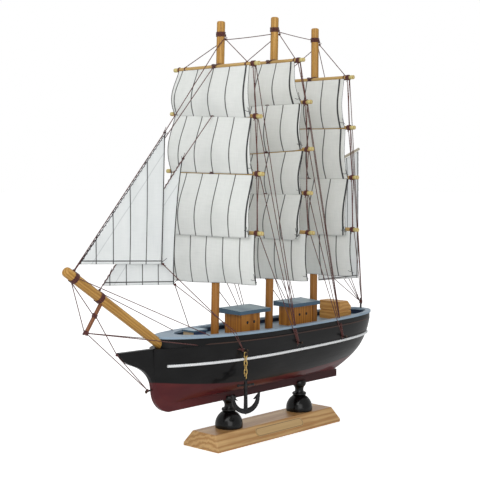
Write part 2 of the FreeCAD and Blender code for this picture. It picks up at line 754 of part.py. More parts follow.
def make_square_sail(name, index):
    """A square sail below one yard, cut round the lashings that it meets."""
    top, half, bottom, low_half = sail_edges(name, index)
    levels = yard_levels(name)[index:index + 2]
    lashings = [yard_lashing(name, level, CLOTH_GAP) for level in levels]
    billow = SAIL_BILLOW if len(levels) == 2 else FREE_BILLOW
    sheet = side_plate(sail_profile(top, bottom, billow), 4 * half)
    x = bottom.x - 5.0
    outline = polygon([
        Vector(x, half, top.z + 1),
        Vector(x, -half, top.z + 1),
        Vector(x, -low_half, bottom.z - 1),
        Vector(x, low_half, bottom.z - 1),
    ])
    frame = Part.Face(outline).extrude(Vector(40.0, 0, 0))
    return sheet.common(frame).cut(lashings)


def wrap_top(share):
    """Where a stay meets a wrap on the bowsprit, straight above the axis."""
    run = (SPRIT_TIP - SPRIT_ROOT).normalize()
    return sprit_point(share) + UP * ((SPRIT_RADIUS + WRAP_THICK) / run.x)


def lashing_front(name, index):
    """The middle of a yard's lashing in front, where a stay is tied."""
    level = yard_levels(name)[index]
    return Vector(yard_x(name, level) + YARD_RADIUS + LASHING_THICK, 0, level)


def outer_stay():
    """The outer jib's stay: from the fore mast above the yards, by the jib's head, to the bowsprit's tip."""
    high = mast_line("fore", DECK_Z + MASTS["fore"][2] - STAY_DROP) + Vector(MAST_RADIUS, 0, 0)
    return [high, OUTER_HEAD, wrap_top(SPRIT_WRAPS[1])]


def inner_stay():
    """The inner jib's stay: from the second fore yard, by the jib's head, to the bowsprit's middle."""
    return [lashing_front("fore", 1), INNER_HEAD, wrap_top(SPRIT_WRAPS[0])]


def middle_stay():
    """The stay between them, which carries no sail."""
    return [lashing_front("fore", 0), wrap_top(SPRIT_WRAPS[1])]


def jib_corners(stay, jib):
    """Head, tack and clew of a stay sail that hangs close under its stay."""
    tack_share, clew_x, clew_drop, side = jib
    head, low = stay[1], stay[2]
    run = (low - head).normalize()
    off = Vector(run.z, 0, -run.x) * (THREAD_RADIUS + STAY_SAIL_GAP) + PORT * side
    start = head + run * 2.0 + off
    tack = head + (low - head) * tack_share + off
    clew = Vector(clew_x, side, tack.z - clew_drop)
    return start, tack, clew


def make_jib(stay, jib):
    """A flat three-cornered sail."""
    corners = jib_corners(stay, jib)
    side = Vector(0, corners[0].y, 0)
    plate = side_plate(polygon([corner - side for corner in corners]), CLOTH_THICK)
    plate.translate(side)
    return plate


def gaff_throat():
    """The gaff's forward end, behind the mizzen mast."""
    return mast_line("mizzen", GAFF_THROAT_Z) - Vector(MAST_RADIUS + GAFF_GAP, 0, 0)


def make_gaff():
    """The gaff along the spanker's head."""
    return rod(gaff_throat(), GAFF_PEAK, GAFF_RADIUS)


def spanker_corners():
    """Throat, peak, clew and tack of the spanker."""
    throat = gaff_throat()
    run = (GAFF_PEAK - throat).normalize()
    under = Vector(run.z, 0, -run.x)
    if under.z > 0:
        under = under * -1
    drop = under * (GAFF_RADIUS + SPANKER_GAP)
    luff = throat + run * 1.5 + drop
    peak = GAFF_PEAK - run * 1.5 + drop
    clew = Vector(peak.x - 0.5, 0, SPANKER_CLEW_Z)
    tack = Vector(luff.x - 0.5, 0, SPANKER_FOOT_Z)
    return luff, peak, clew, tack


def make_spanker():
    """The fore-and-aft sail behind the mizzen mast."""
    return side_plate(polygon(list(spanker_corners())), CLOTH_THICK)


def thread(start, end):
    """A taut thread."""
    return rod(start, end, THREAD_RADIUS)


def thread_run(points):
    """A taut thread through points, rounded where it bends."""
    parts = [thread(a, b) for a, b in zip(points, points[1:])]
    return parts + [Part.makeSphere(THREAD_RADIUS, bend) for bend in points[1:-1]]


def knot(place):
    """A small knot."""
    return Part.makeSphere(END_KNOT_RADIUS, place)


def wrap(centre, run, radius):
    """Thread wound round a spar: a sleeve centred on a point of the spar's axis."""
    half = Vector(run).normalize() * (WRAP_LENGTH / 2)
    outer = rod(centre - half, centre + half, radius + WRAP_THICK)
    return outer.cut(rod(centre - half * 1.2, centre + half * 1.2, radius + GLUE_GAP))


def mast_wrap(name, height):
    """A lashing round a mast."""
    run = mast_line(name, height + 10) - mast_line(name, height)
    return wrap(mast_line(name, height), run, MAST_RADIUS)


def masthead(name):
    """Height of a mast's head lashing."""
    return DECK_Z + MASTS[name][2] - MASTHEAD_DROP


def make_mast_stays():
    """The centre-line stays with their lashings on the masts."""
    fore_x = Vector(MAST_RADIUS + WRAP_THICK * 0.6, 0, 0)
    parts = [mast_wrap(name, masthead(name)) for name in MASTS]
    parts.append(mast_wrap("fore", outer_stay()[0].z))
    for stay in (outer_stay(), middle_stay(), inner_stay()):
        parts.extend(thread_run(stay))
    heads = [mast_line(name, masthead(name)) for name in ("fore", "main", "mizzen")]
    for ahead, astern in zip(heads, heads[1:]):
        parts.append(thread(ahead - fore_x, astern + fore_x))
    return joined(parts).cut([mast_rod("fore", MAST_RADIUS + GLUE_GAP)])


def yardarm(name, index, side):
    """Centre of the knot near a yard's end."""
    height, half, tilt = YARDS[name][index]
    level = DECK_Z + height
    out = side * (half - KNOT_INSET)
    return Vector(yard_x(name, level), out, level + out * math.tan(math.radians(tilt)))


def make_yard_lifts():
    """Lifts from the mastheads, and the threads that tie each mast's yardarms together."""
    nodes = []
    for name in MASTS:
        parts = []
        for side in SIDES:
            arms = [yardarm(name, i, side) for i in range(len(YARDS[name]))]
            for arm in arms:
                half = PORT * (KNOT_LENGTH / 2)
                parts.append(rod(arm - half, arm + half, YARD_RADIUS + KNOT_THICK))
            parts.extend(thread(a, b) for a, b in zip(arms, arms[1:]))
            head = mast_line(name, masthead(name)) + Vector(0, side * (MAST_RADIUS + WRAP_THICK), 0)
            level = arms[0].z + YARD_RADIUS + THREAD_RADIUS
            end = Vector(arms[0].x, side * LIFT_PLACES[name], level)
            parts.append(thread(head, end))
            parts.append(knot(end))
        tools = yard_rods(name, YARD_RADIUS + GLUE_GAP)
        nodes.append(joined(parts).cut(tools))
    return Part.makeCompound(nodes)


def channel(name, side, out=0.0):
    """Where threads are tied at a channel nail: out is the distance from the hull's side."""
    x, level = CHANNEL_PLACES[name]
    return Vector(x, side * (half_breadth(x, level) + out), level)


def backstay_points(start, end, name):
    """Points of a backstay: where it would cut a mast's lowest sail, it bends under the sail's foot."""
    foot = sail_edges(name, len(YARDS[name]) - 1)[2] + Vector(CLOTH_THICK + FOOT_CLEAR, 0, -FOOT_CLEAR)
    cross = start + (end - start) * ((start.x - foot.x) / (start.x - end.x))
    if cross.z < foot.z:
        return [start, end]
    return [start, Vector(foot.x, cross.y, foot.z), end]


def make_backstays(side):
    """Threads from every yardarm down to the next channel aft, and from the mizzen to the stern post."""
    parts = []
    ends = {
        "fore": channel("main", side, CHANNEL_STANDOFF),
        "main": channel("mizzen", side, CHANNEL_STANDOFF),
        "mizzen": Vector(POST_X, side * (POST_RADIUS + THREAD_RADIUS), post_top() - 2.0),
    }
    passed = {"fore": "main", "main": "mizzen"}
    for name in MASTS:
        for index in range(len(YARDS[name])):
            start = yardarm(name, index, side) - Vector(YARD_RADIUS + KNOT_THICK, 0, 0)
            points = [start, ends[name]]
            if name in passed:
                points = backstay_points(start, ends[name], passed[name])
            parts.extend(thread_run(points))
        parts.append(knot(ends[name]))
    tools = channel_nails() + [post_rod(POST_RADIUS)]
    return joined(parts).cut(tools)


def rail_edge(start, end, side):
    """Where a thread from the centre line bends over the rail on its way to the hull's side."""
    x = start.x + (end.x - start.x) * RAIL_BEND_SHARE
    climb = (RAIL_BOW_RISE - RAIL_MID_RISE) * (x - RAIL_LOW_X) / (BOW_X - RAIL_LOW_X)
    level = DECK_Z + RAIL_MID_RISE + climb + RAIL_BEND_CLEAR
    return Vector(x, side * (half_breadth(x, level) + RAIL_OVERHANG + RAIL_BEND_CLEAR), level)


def make_bowsprit_rigging():
    """The bowsprit's wraps, the bobstays under it and the threads back to the fore channels."""
    run = SPRIT_TIP - SPRIT_ROOT
    parts = [wrap(sprit_point(share), run, SPRIT_RADIUS) for share in SPRIT_WRAPS]
    down = Vector(run.z, 0, -run.x).normalize()
    under_tip = sprit_point(SPRIT_WRAPS[1]) + down * (SPRIT_RADIUS + WRAP_THICK * 0.5)
    top, foot = striker_ends()
    low_knot = foot - down * 1.2
    mid_knot = top + (foot - top) * STRIKER_LASH
    forward = Vector(run).normalize() * (STRIKER_RADIUS + THREAD_RADIUS)
    nail = Vector(stem_nail_head().x - 1.0, 0, STEM_NAIL_Z)
    beak = BEAK_TIP + Vector(1.0, 0, -1.2)
    parts.append(wrap(low_knot, down, STRIKER_RADIUS))
    parts.append(wrap(mid_knot, down, STRIKER_RADIUS))
    parts.append(thread(under_tip, low_knot + forward))
    parts.append(thread(under_tip, mid_knot + forward))
    parts.append(thread(mid_knot - forward, beak))
    parts.append(knot(beak))
    parts.append(thread(beak, nail))
    parts.append(thread(low_knot - forward, nail))
    for side in SIDES:
        end = channel("fore", side, CHANNEL_STANDOFF)
        parts.append(thread(sprit_point(SPRIT_WRAPS[1]) + PORT * side * (SPRIT_RADIUS + WRAP_THICK * 0.5), end))
        parts.append(thread(low_knot + PORT * side * (STRIKER_RADIUS + WRAP_THICK * 0.5), end))
        parts.append(knot(end))
    tools = channel_nails() + [stem_blank(STEM_THICK), stem_nail(NAIL_RADIUS)]
    tools += [sprit_rod(SPRIT_RADIUS), striker_rod(STRIKER_RADIUS + GLUE_GAP)]
    return joined(parts).cut(tools)


def make_jib_sheets():
    """Threads from the jibs' clews, over the rail, to the fore channels."""
    parts = []
    sheets = ((outer_stay(), OUTER_JIB, (1,)), (inner_stay(), INNER_JIB, SIDES))
    for stay, jib, sides in sheets:
        clew = jib_corners(stay, jib)[2] - Vector(END_KNOT_RADIUS + STAY_SAIL_GAP, 0, 0)
        parts.append(knot(clew))
        for side in sides:
            end = channel("fore", side, CHANNEL_STANDOFF)
            parts.extend(thread_run([clew, rail_edge(clew, end, side), end]))
    return joined(parts).cut(channel_nails())


def channel_nail(name, side, radius):
    """A nail in the hull's side that rigging is tied to."""
    inside = channel(name, side, -CHANNEL_SEAT)
    outside = channel(name, side, CHANNEL_STANDOFF + END_KNOT_RADIUS)
    return rod(inside, outside, radius)


def channel_nails():
    """All six channel nails' shanks."""
    return [channel_nail(name, side, NAIL_RADIUS) for name in CHANNEL_PLACES for side in SIDES]


def stem_nail_head():
    """Front end of the nail in the stem."""
    return Vector(BOW_X + STEM_NAIL_REACH, 0, STEM_NAIL_Z - STEM_NAIL_DIP)


def stem_nail(radius):
    """The nail in the stem that the bobstays are tied to."""
    inside = Vector(BOW_X - STEM_NAIL_REACH, 0, STEM_NAIL_Z + STEM_NAIL_DIP)
    return rod(inside, stem_nail_head(), radius)


def chain_frame(shape):
    """A piece of the chain, made about the hook's axis, put in its place."""
    shape.rotate(Vector(0, 0, 0), UP, ANCHOR_TURN)
    shape.translate(chain_origin())
    return shape


def chain_origin():
    """Where the chain's centre line meets the hook's axis."""
    x, level = CHANNEL_PLACES["fore"]
    level = level - CHAIN_BELOW
    return Vector(x + CHAIN_AHEAD, half_breadth(x, level) + CHAIN_STANDOFF, level)


def hook_shank(radius):
    """The anchor nail's shank, square to the chain's plane."""
    inside = Vector(0, -CHAIN_STANDOFF - CHANNEL_SEAT, 0)
    return chain_frame(rod(inside, Vector(0, HOOK_REACH, 0), radius))


def make_anchor_nail():
    """The nail that the chain hangs on, with a head that keeps the chain on it."""
    start = Vector(0, HOOK_REACH, 0)
    head = chain_frame(rod(start, start + PORT * HEAD_THICK, HEAD_RADIUS))
    return hook_shank(NAIL_RADIUS).fuse(head)


def make_nails():
    """The channel nails, the stem nail and the anchor's nail, each with a flat head."""
    nails = []
    for name in CHANNEL_PLACES:
        for side in SIDES:
            start = channel(name, side, CHANNEL_STANDOFF + END_KNOT_RADIUS)
            head = rod(start, start + PORT * (side * HEAD_THICK), HEAD_RADIUS)
            nails.append(channel_nail(name, side, NAIL_RADIUS).fuse(head))
    front = stem_nail_head()
    head = rod(front, front + Vector(HEAD_THICK, 0, 0), HEAD_RADIUS)
    nails.append(stem_nail(NAIL_RADIUS).fuse(head))
    nails.append(make_anchor_nail())
    return Part.makeCompound(nails)


def nail_seats():
    """The holes of the nails in the hull."""
    radius = NAIL_RADIUS + GLUE_GAP
    seats = [channel_nail(name, side, radius) for name in CHANNEL_PLACES for side in SIDES]
    return seats + [hook_shank(radius)]


def post_top():
    """Height of the stern post's head."""
    return DECK_Z + RAIL_STERN_RISE + POST_HEIGHT


def post_rod(radius):
    """The stern post's pin."""
    return rod(Vector(POST_X, 0, DECK_BED_Z - POST_SEAT), Vector(POST_X, 0, post_top()), radius)


def link_pitch():
    """Distance between the centres of two links that hang on each other."""
    return 2 * (LINK_HALF_STRAIGHT + LINK_HALF_WIDTH - LINK_WIRE) - LINK_PLAY


def link_centre(index):
    """Height of a link's centre below the hook's axis."""
    first = NAIL_RADIUS + LINK_WIRE + LINK_PLAY - LINK_HALF_STRAIGHT - LINK_HALF_WIDTH
    return first - index * link_pitch()


def make_link(index):
    """An oval chain link; every second one is turned a quarter turn."""
    parts = []
    for turn in (0, 180):
        end = Part.makeTorus(LINK_HALF_WIDTH, LINK_WIRE, Vector(0, 0, 0), UP, 0, 360, 180)
        end.rotate(Vector(0, 0, 0), Vector(1, 0, 0), 90)
        end.translate(Vector(0, 0, LINK_HALF_STRAIGHT))
        end.rotate(Vector(0, 0, 0), Vector(0, 1, 0), turn)
        parts.append(end)
    for side in SIDES:
        low = Vector(side * LINK_HALF_WIDTH, 0, -LINK_HALF_STRAIGHT)
        parts.append(rod(low, low + Vector(0, 0, 2 * LINK_HALF_STRAIGHT), LINK_WIRE))
    link = joined(parts).removeSplitter()
    link.rotate(Vector(0, 0, 0), UP, 90 * (index % 2))
    link.translate(Vector(0, 0, link_centre(index)))
    return chain_frame(link)


def anchor_hang():
    """Height of the last link's lower wire below the hook's axis."""
    return link_centre(LINK_COUNT - 1) - LINK_HALF_STRAIGHT - LINK_HALF_WIDTH


def make_anchor():
    """A flat cast anchor: thin eye, shank, round stock, and two arms with pointed palms."""
    eye_z = anchor_hang() + LINK_WIRE + ANCHOR_PLAY - ANCHOR_EYE_HOLE
    crown_z = eye_z - ANCHOR_SHANK - 1.6
    centre_z = crown_z + ANCHOR_ARM_RADIUS + 2.4
    inner = ANCHOR_ARM_RADIUS - 2.0
    cosine = math.cos(math.radians(ANCHOR_ARM_LIFT))
    sine = math.sin(math.radians(ANCHOR_ARM_LIFT))
    parts = []
    eye = Part.makeCylinder(ANCHOR_EYE_RADIUS, ANCHOR_EYE_THICK, Vector(0, -ANCHOR_EYE_THICK / 2, eye_z), PORT)
    parts.append(eye)
    parts.append(side_plate(polygon([
        Vector(ANCHOR_SHANK_WIDTH * 0.4, 0, eye_z - ANCHOR_EYE_RADIUS * 0.8),
        Vector(-ANCHOR_SHANK_WIDTH * 0.4, 0, eye_z - ANCHOR_EYE_RADIUS * 0.8),
        Vector(-ANCHOR_SHANK_WIDTH * 0.6, 0, crown_z + 2.0),
        Vector(0, 0, crown_z - 0.6),
        Vector(ANCHOR_SHANK_WIDTH * 0.6, 0, crown_z + 2.0),
    ]), ANCHOR_THICK))
    outer_left = Vector(-ANCHOR_ARM_RADIUS * cosine, 0, centre_z - ANCHOR_ARM_RADIUS * sine)
    outer_right = Vector(ANCHOR_ARM_RADIUS * cosine, 0, centre_z - ANCHOR_ARM_RADIUS * sine)
    inner_left = Vector(-inner * cosine, 0, centre_z - inner * sine)
    inner_right = Vector(inner * cosine, 0, centre_z - inner * sine)
    arms = [
        Part.Arc(outer_left, Vector(0, 0, crown_z), outer_right).toShape(),
        Part.LineSegment(outer_right, inner_right).toShape(),
        Part.Arc(inner_right, Vector(0, 0, crown_z + 3.6), inner_left).toShape(),
        Part.LineSegment(inner_left, outer_left).toShape(),
    ]
    parts.append(side_plate(Part.Wire(arms), ANCHOR_THICK))
    for side in SIDES:
        outer = Vector(side * ANCHOR_ARM_RADIUS * cosine, 0, centre_z - ANCHOR_ARM_RADIUS * sine)
        palm = polygon([
            outer + Vector(side * 0.4, 0, 2.6),
            outer + Vector(side * 0.3, 0, -1.2),
            outer + Vector(-side * 4.6, 0, -2.6),
        ])
        parts.append(side_plate(palm, ANCHOR_THICK))
    stock_z = eye_z - 4.2
    half = ANCHOR_STOCK / 2
    parts.append(rod(Vector(-half, 0, stock_z), Vector(half, 0, stock_z), STOCK_RADIUS))
    for side in SIDES:
        parts.append(Part.makeSphere(STOCK_KNOB, Vector(side * half, 0, stock_z)))
    anchor = joined(parts).removeSplitter()
    hole = Part.makeCylinder(ANCHOR_EYE_HOLE, 10.0, Vector(0, -5.0, eye_z), PORT)
    return chain_frame(anchor.cut(hole))


def print_joints():
    """The pivots of the chain and the anchor."""
    for index in range(LINK_COUNT + 1):
        if index == 0:
            level = 0.0
        else:
            level = link_centre(index - 1) - LINK_HALF_STRAIGHT - LINK_HALF_WIDTH
        place = Vector(0, 0, level) + chain_origin()
        print("pivot", index + 1, round(place.x, 3), round(place.y, 3), round(place.z, 3))


def build():
    """Makes and saves every piece."""
    form = hull_form()
    save("stand_base", make_base())
    save("name_label", make_label())
    save("front_pillar", make_pillar(1))
    save("rear_pillar", make_pillar(-1))
    save("stand_screws", Part.makeCompound([stand_screw(end) for end in SIDES]))
    save("keel", make_keel())
    save("hull", make_hull(form))
    save("stem", make_stem())
    save("bulwark", make_bulwark(form))
    save("cap_rail", make_cap_rail())
    save("deck", make_deck())
    save("wale_rope", make_wale(form))
    save("rail_moulding", make_moulding(form))
    save("fore_hatch", make_hatch())
    save("fore_hatch_lid", make_hatch_lid())
    save("fore_cabin", make_cabin(FORE_CABIN))
    save("fore_cabin_roof", make_roof(FORE_ROOF))
    save("aft_cabin", make_cabin(AFT_CABIN))
    save("aft_cabin_roof", make_roof(AFT_ROOF))
    save("stern_house", make_stern_house())
    save("stern_post", post_rod(POST_RADIUS))
    save("bowsprit", make_bowsprit())
    save("dolphin_striker", striker_rod(STRIKER_RADIUS))
    for name in MASTS:
        save(name + "_mast", make_mast(name))
        save(name + "_yards", Part.makeCompound(yard_rods(name, YARD_RADIUS)))
        for index, sail in enumerate(SAIL_NAMES[name]):
            save(sail, make_square_sail(name, index))
    save("yard_lashings", make_yard_lashings())
    save("outer_jib", make_jib(outer_stay(), OUTER_JIB))
    save("inner_jib", make_jib(inner_stay(), INNER_JIB))
    save("gaff", make_gaff())
    save("spanker", make_spanker())
    save("mast_stays", make_mast_stays())
    save("yard_lifts", make_yard_lifts())
    save("backstays", Part.makeCompound([make_backstays(side) for side in SIDES]))
    save("bowsprit_rigging", make_bowsprit_rigging())
    save("jib_sheets", make_jib_sheets())
    save("rigging_nails", make_nails())
    for index in range(LINK_COUNT):
        save("chain_link_" + str(index + 1), make_link(index))
    save("anchor", make_anchor())
    print_joints()


build()
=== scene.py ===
"""Looks of the model sailing ship: finishes for the CAD pieces, woven sails, twisted threads and rope."""
import bpy
import random

from math import atan2, ceil, cos, pi, radians, sin, tan
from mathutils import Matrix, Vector
from mathutils.bvhtree import BVHTree


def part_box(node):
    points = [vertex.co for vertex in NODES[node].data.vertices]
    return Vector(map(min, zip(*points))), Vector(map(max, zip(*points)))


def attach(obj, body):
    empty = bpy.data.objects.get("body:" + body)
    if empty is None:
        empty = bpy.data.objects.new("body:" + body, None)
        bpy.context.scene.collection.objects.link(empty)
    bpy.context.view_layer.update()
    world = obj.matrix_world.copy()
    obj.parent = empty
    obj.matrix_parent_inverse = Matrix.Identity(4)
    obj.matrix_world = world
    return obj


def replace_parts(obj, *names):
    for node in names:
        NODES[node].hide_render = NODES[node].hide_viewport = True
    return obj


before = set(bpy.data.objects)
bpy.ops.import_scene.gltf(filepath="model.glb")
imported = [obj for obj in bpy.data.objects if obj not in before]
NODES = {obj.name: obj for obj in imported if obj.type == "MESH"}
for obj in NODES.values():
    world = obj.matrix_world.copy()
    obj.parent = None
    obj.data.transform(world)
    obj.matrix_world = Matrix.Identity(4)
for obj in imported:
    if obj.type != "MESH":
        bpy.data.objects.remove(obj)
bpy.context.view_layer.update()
MM = 0.001
UP = Vector((0, 0, 1))
PORT = Vector((0, 1, 0))
SIDES = (1, -1)
OUTSIDE = 60.0         # further out than the hull's side
BODY = "ship"

# Sizes repeated from the design, in millimetres
KEEL_Z = 33.0
DECK_Z = 81.1
MAST_RADIUS = 3.0
MASTS = {                # foot and head stations, and height above the deck
    "fore": (55.4, 48.2, 229.7),
    "main": (-3.8, -10.2, 238.0),
    "mizzen": (-57.5, -58.0, 233.6),
}
YARD_RADIUS = 1.5
YARD_GAP = 0.15
YARDS = {                # height above the deck, half length, tilt in degrees
    "fore": ((196.6, 43.0, 0.4), (161.8, 46.0, -2.6), (120.4, 49.0, -0.9), (77.8, 49.6, 0.3)),
    "main": (
        (203.3, 34.0, 0.3), (171.8, 42.0, 0.5), (135.6, 44.5, 2.6), (104.6, 44.5, 0.6), (76.1, 47.0, -0.4),
    ),
    "mizzen": ((192.7, 42.5, 0.2), (154.8, 44.0, -0.6), (115.7, 47.5, 0.5), (76.1, 48.0, -0.3)),
}
KNOT_INSET = 5.5
SAIL_NAMES = {
    "fore": ("fore_royal", "fore_topgallant", "fore_topsail", "fore_course"),
    "main": ("main_skysail", "main_royal", "main_topgallant", "main_topsail", "main_course"),
    "mizzen": ("mizzen_royal", "mizzen_topgallant", "mizzen_topsail", "mizzen_course"),
}
SAIL_INSET = 8.0
COURSE_INSET = 5.5
CLOTH_THICK = 0.5
SKIN = YARD_RADIUS + 0.06
COURSE_SKIN = SKIN + 0.5
HEAD_DROP = 1.1
FOOT_DROP = 0.3
TOPSAIL_HANG = {"fore": 3.5, "main": 6.0, "mizzen": 5.0}
TOPSAIL_CLEAR = 1.8
FREE_DROP = 36.5
FREE_LEAN = {"fore": -2.2, "main": -2.2, "mizzen": -3.2}
FREE_BILLOW = 2.0
SPRIT_RADIUS = 3.4
SPRIT_ROOT = Vector((109.5, 0.0, KEEL_Z + 48.6))
SPRIT_TIP = Vector((192.3, 0.0, KEEL_Z + 106.5))
SPRIT_WRAPS = (0.652, 0.907)
STRIKER_RADIUS = 1.35
STRIKER_PLACE = 0.62
STRIKER_LENGTH = 23.0
STRIKER_LASH = 0.42
OUTER_HEAD = Vector((104.5, 0.0, KEEL_Z + 196.4))
INNER_HEAD = Vector((86.5, 0.0, KEEL_Z + 178.6))
JIBS = {                 # stay's upper end and wrap, tack's share, clew's station and drop, offset to port
    "outer_jib": (OUTER_HEAD, 1, 0.955, 108.7, 4.5, 1.0),
    "inner_jib": (INNER_HEAD, 0, 0.965, 95.8, 4.2, -0.6),
}
LUFF_GAP = 0.57
GAFF_PEAK = Vector((-115.5, 0.0, KEEL_Z + 187.0))
GAFF_THROAT_Z = KEEL_Z + 167.5
GAFF_RADIUS = 1.1
CHANNELS = {
    "fore": (49.5, KEEL_Z + 40.2),
    "main": (-10.5, KEEL_Z + 39.0),
    "mizzen": (-68.0, KEEL_Z + 37.0),
}
CHANNEL_STANDOFF = 3.2
BEAK_TIP = Vector((147.9, 0.0, KEEL_Z + 47.2))
STEM_NAIL = Vector((121.5, 0.0, KEEL_Z + 18.0))
POST_TOP = Vector((-119.8, 0.0, DECK_Z + 13.5))
MASTHEAD_DROP = 9.5
STAY_DROP = 18.5
LIFT_PLACES = {"fore": 31.0, "main": 25.0, "mizzen": 34.0}
OVER_RAIL = DECK_Z + 4.9  # a sheet's height over the rail, at the first station of its slope
RAIL_SLOPE = (3.1, -20.0, 137.0)    # rise, from a station, over a length
BULWARK_Z = 79.0
CABIN_HALVES = {"fore_cabin": 8.5, "aft_cabin": 7.4}
SPANKER_TACK_Z = KEEL_Z + 80.5
SPANKER_CLEW_Z = KEEL_Z + 79.0
WALE = ((157.0, 69.3), (-20.0, 67.1), (-131.5, 68.8))
WALE_THICK = 1.9
PORTHOLE_Z = 8.6
PORTHOLE_SHARES = (0.335, 0.69)

# What only the looks use
THREAD = 0.35
WAX_THREAD = 0.32
TIE_DROP = 3.6         # from a masthead's lashing down to where its threads are tied
STRIPE_PITCH = 16.8
JIB_PITCH = 14.6
BILLOWS = {"fore": (5.2, 2.9), "main": (4.3, 3.3), "mizzen": (4.2, 3.2)}   # starboard edge, port edge
CURLS = {              # how far a sail's lower port corner curls forward; 0.6 where it isn't named
    "main_topsail": 5.0,
    "fore_topsail": 1.6,
    "fore_royal": 1.2,
    "main_royal": 1.2,
    "mizzen_topsail": 1.4,
}
JIB_SHAPES = {"outer_jib": (0.0, 0.8), "inner_jib": (2.4, -0.5)}    # leech's hollow, belly to port
LACING_PITCH = 4.0
WEAVE_PITCH = 0.62
SHEET_SHOWN = 0.42     # thickness of the cloth as shown
FREE_SLOPE = 0.03      # rise of a lowest sail's foot toward port
SAIL_REACH = 1.5       # extra width toward starboard
STRIPE_GAP = (4.2, 4.2)
STRIPE_GAPS = {        # first stripe in from the port edge, at head and foot; below 0 it is off the cloth
    "fore_royal": (3.0, 5.2),
    "fore_topgallant": (0.2, 4.4),
    "fore_topsail": (0.2, 3.6),
    "fore_course": (-3.0, -3.0),
    "main_skysail": (3.6, 7.0),
    "main_royal": (1.8, 1.6),
    "main_topgallant": (0.4, 1.8),
    "main_topsail": (0.4, 2.6),
    "main_course": (-3.0, -3.0),
    "mizzen_topsail": (0.6, 2.4),
    "mizzen_course": (-3.0, -3.0),
}
STRIP_SHOWS = ("fore_topgallant", "main_royal", "mizzen_royal")
PLY_PITCH = 2.2
STEP = 0.6             # between rings of a thread
CHAFE = 0.2            # radius of a loose thread end
WALE_TURN_X = -95.0    # astern of this the rope goes round the stern
WALE_BOW_X = 109.5
WALE_STRAND = 0.58
WALE_LAY = 0.48        # from the rope's centre to a strand's
WALE_PITCH = 5.4
LABEL_HEIGHT = 7.0
LABEL_STRAIGHT = 23.5  # half length of the label's straight edges
HULL_BRUSH = (25.0, 200.0, 420.0)
WATERLINE = 0.046      # metres, with the rises in metres for each square metre
WATERLINE_BOW_RISE = 0.67
WATERLINE_STERN_RISE = 0.28
AMBIENT = 0.5         # soft light from all round; the backdrop itself shows white

rng = random.Random(7)


# ---------------------------------------------------------------- materials

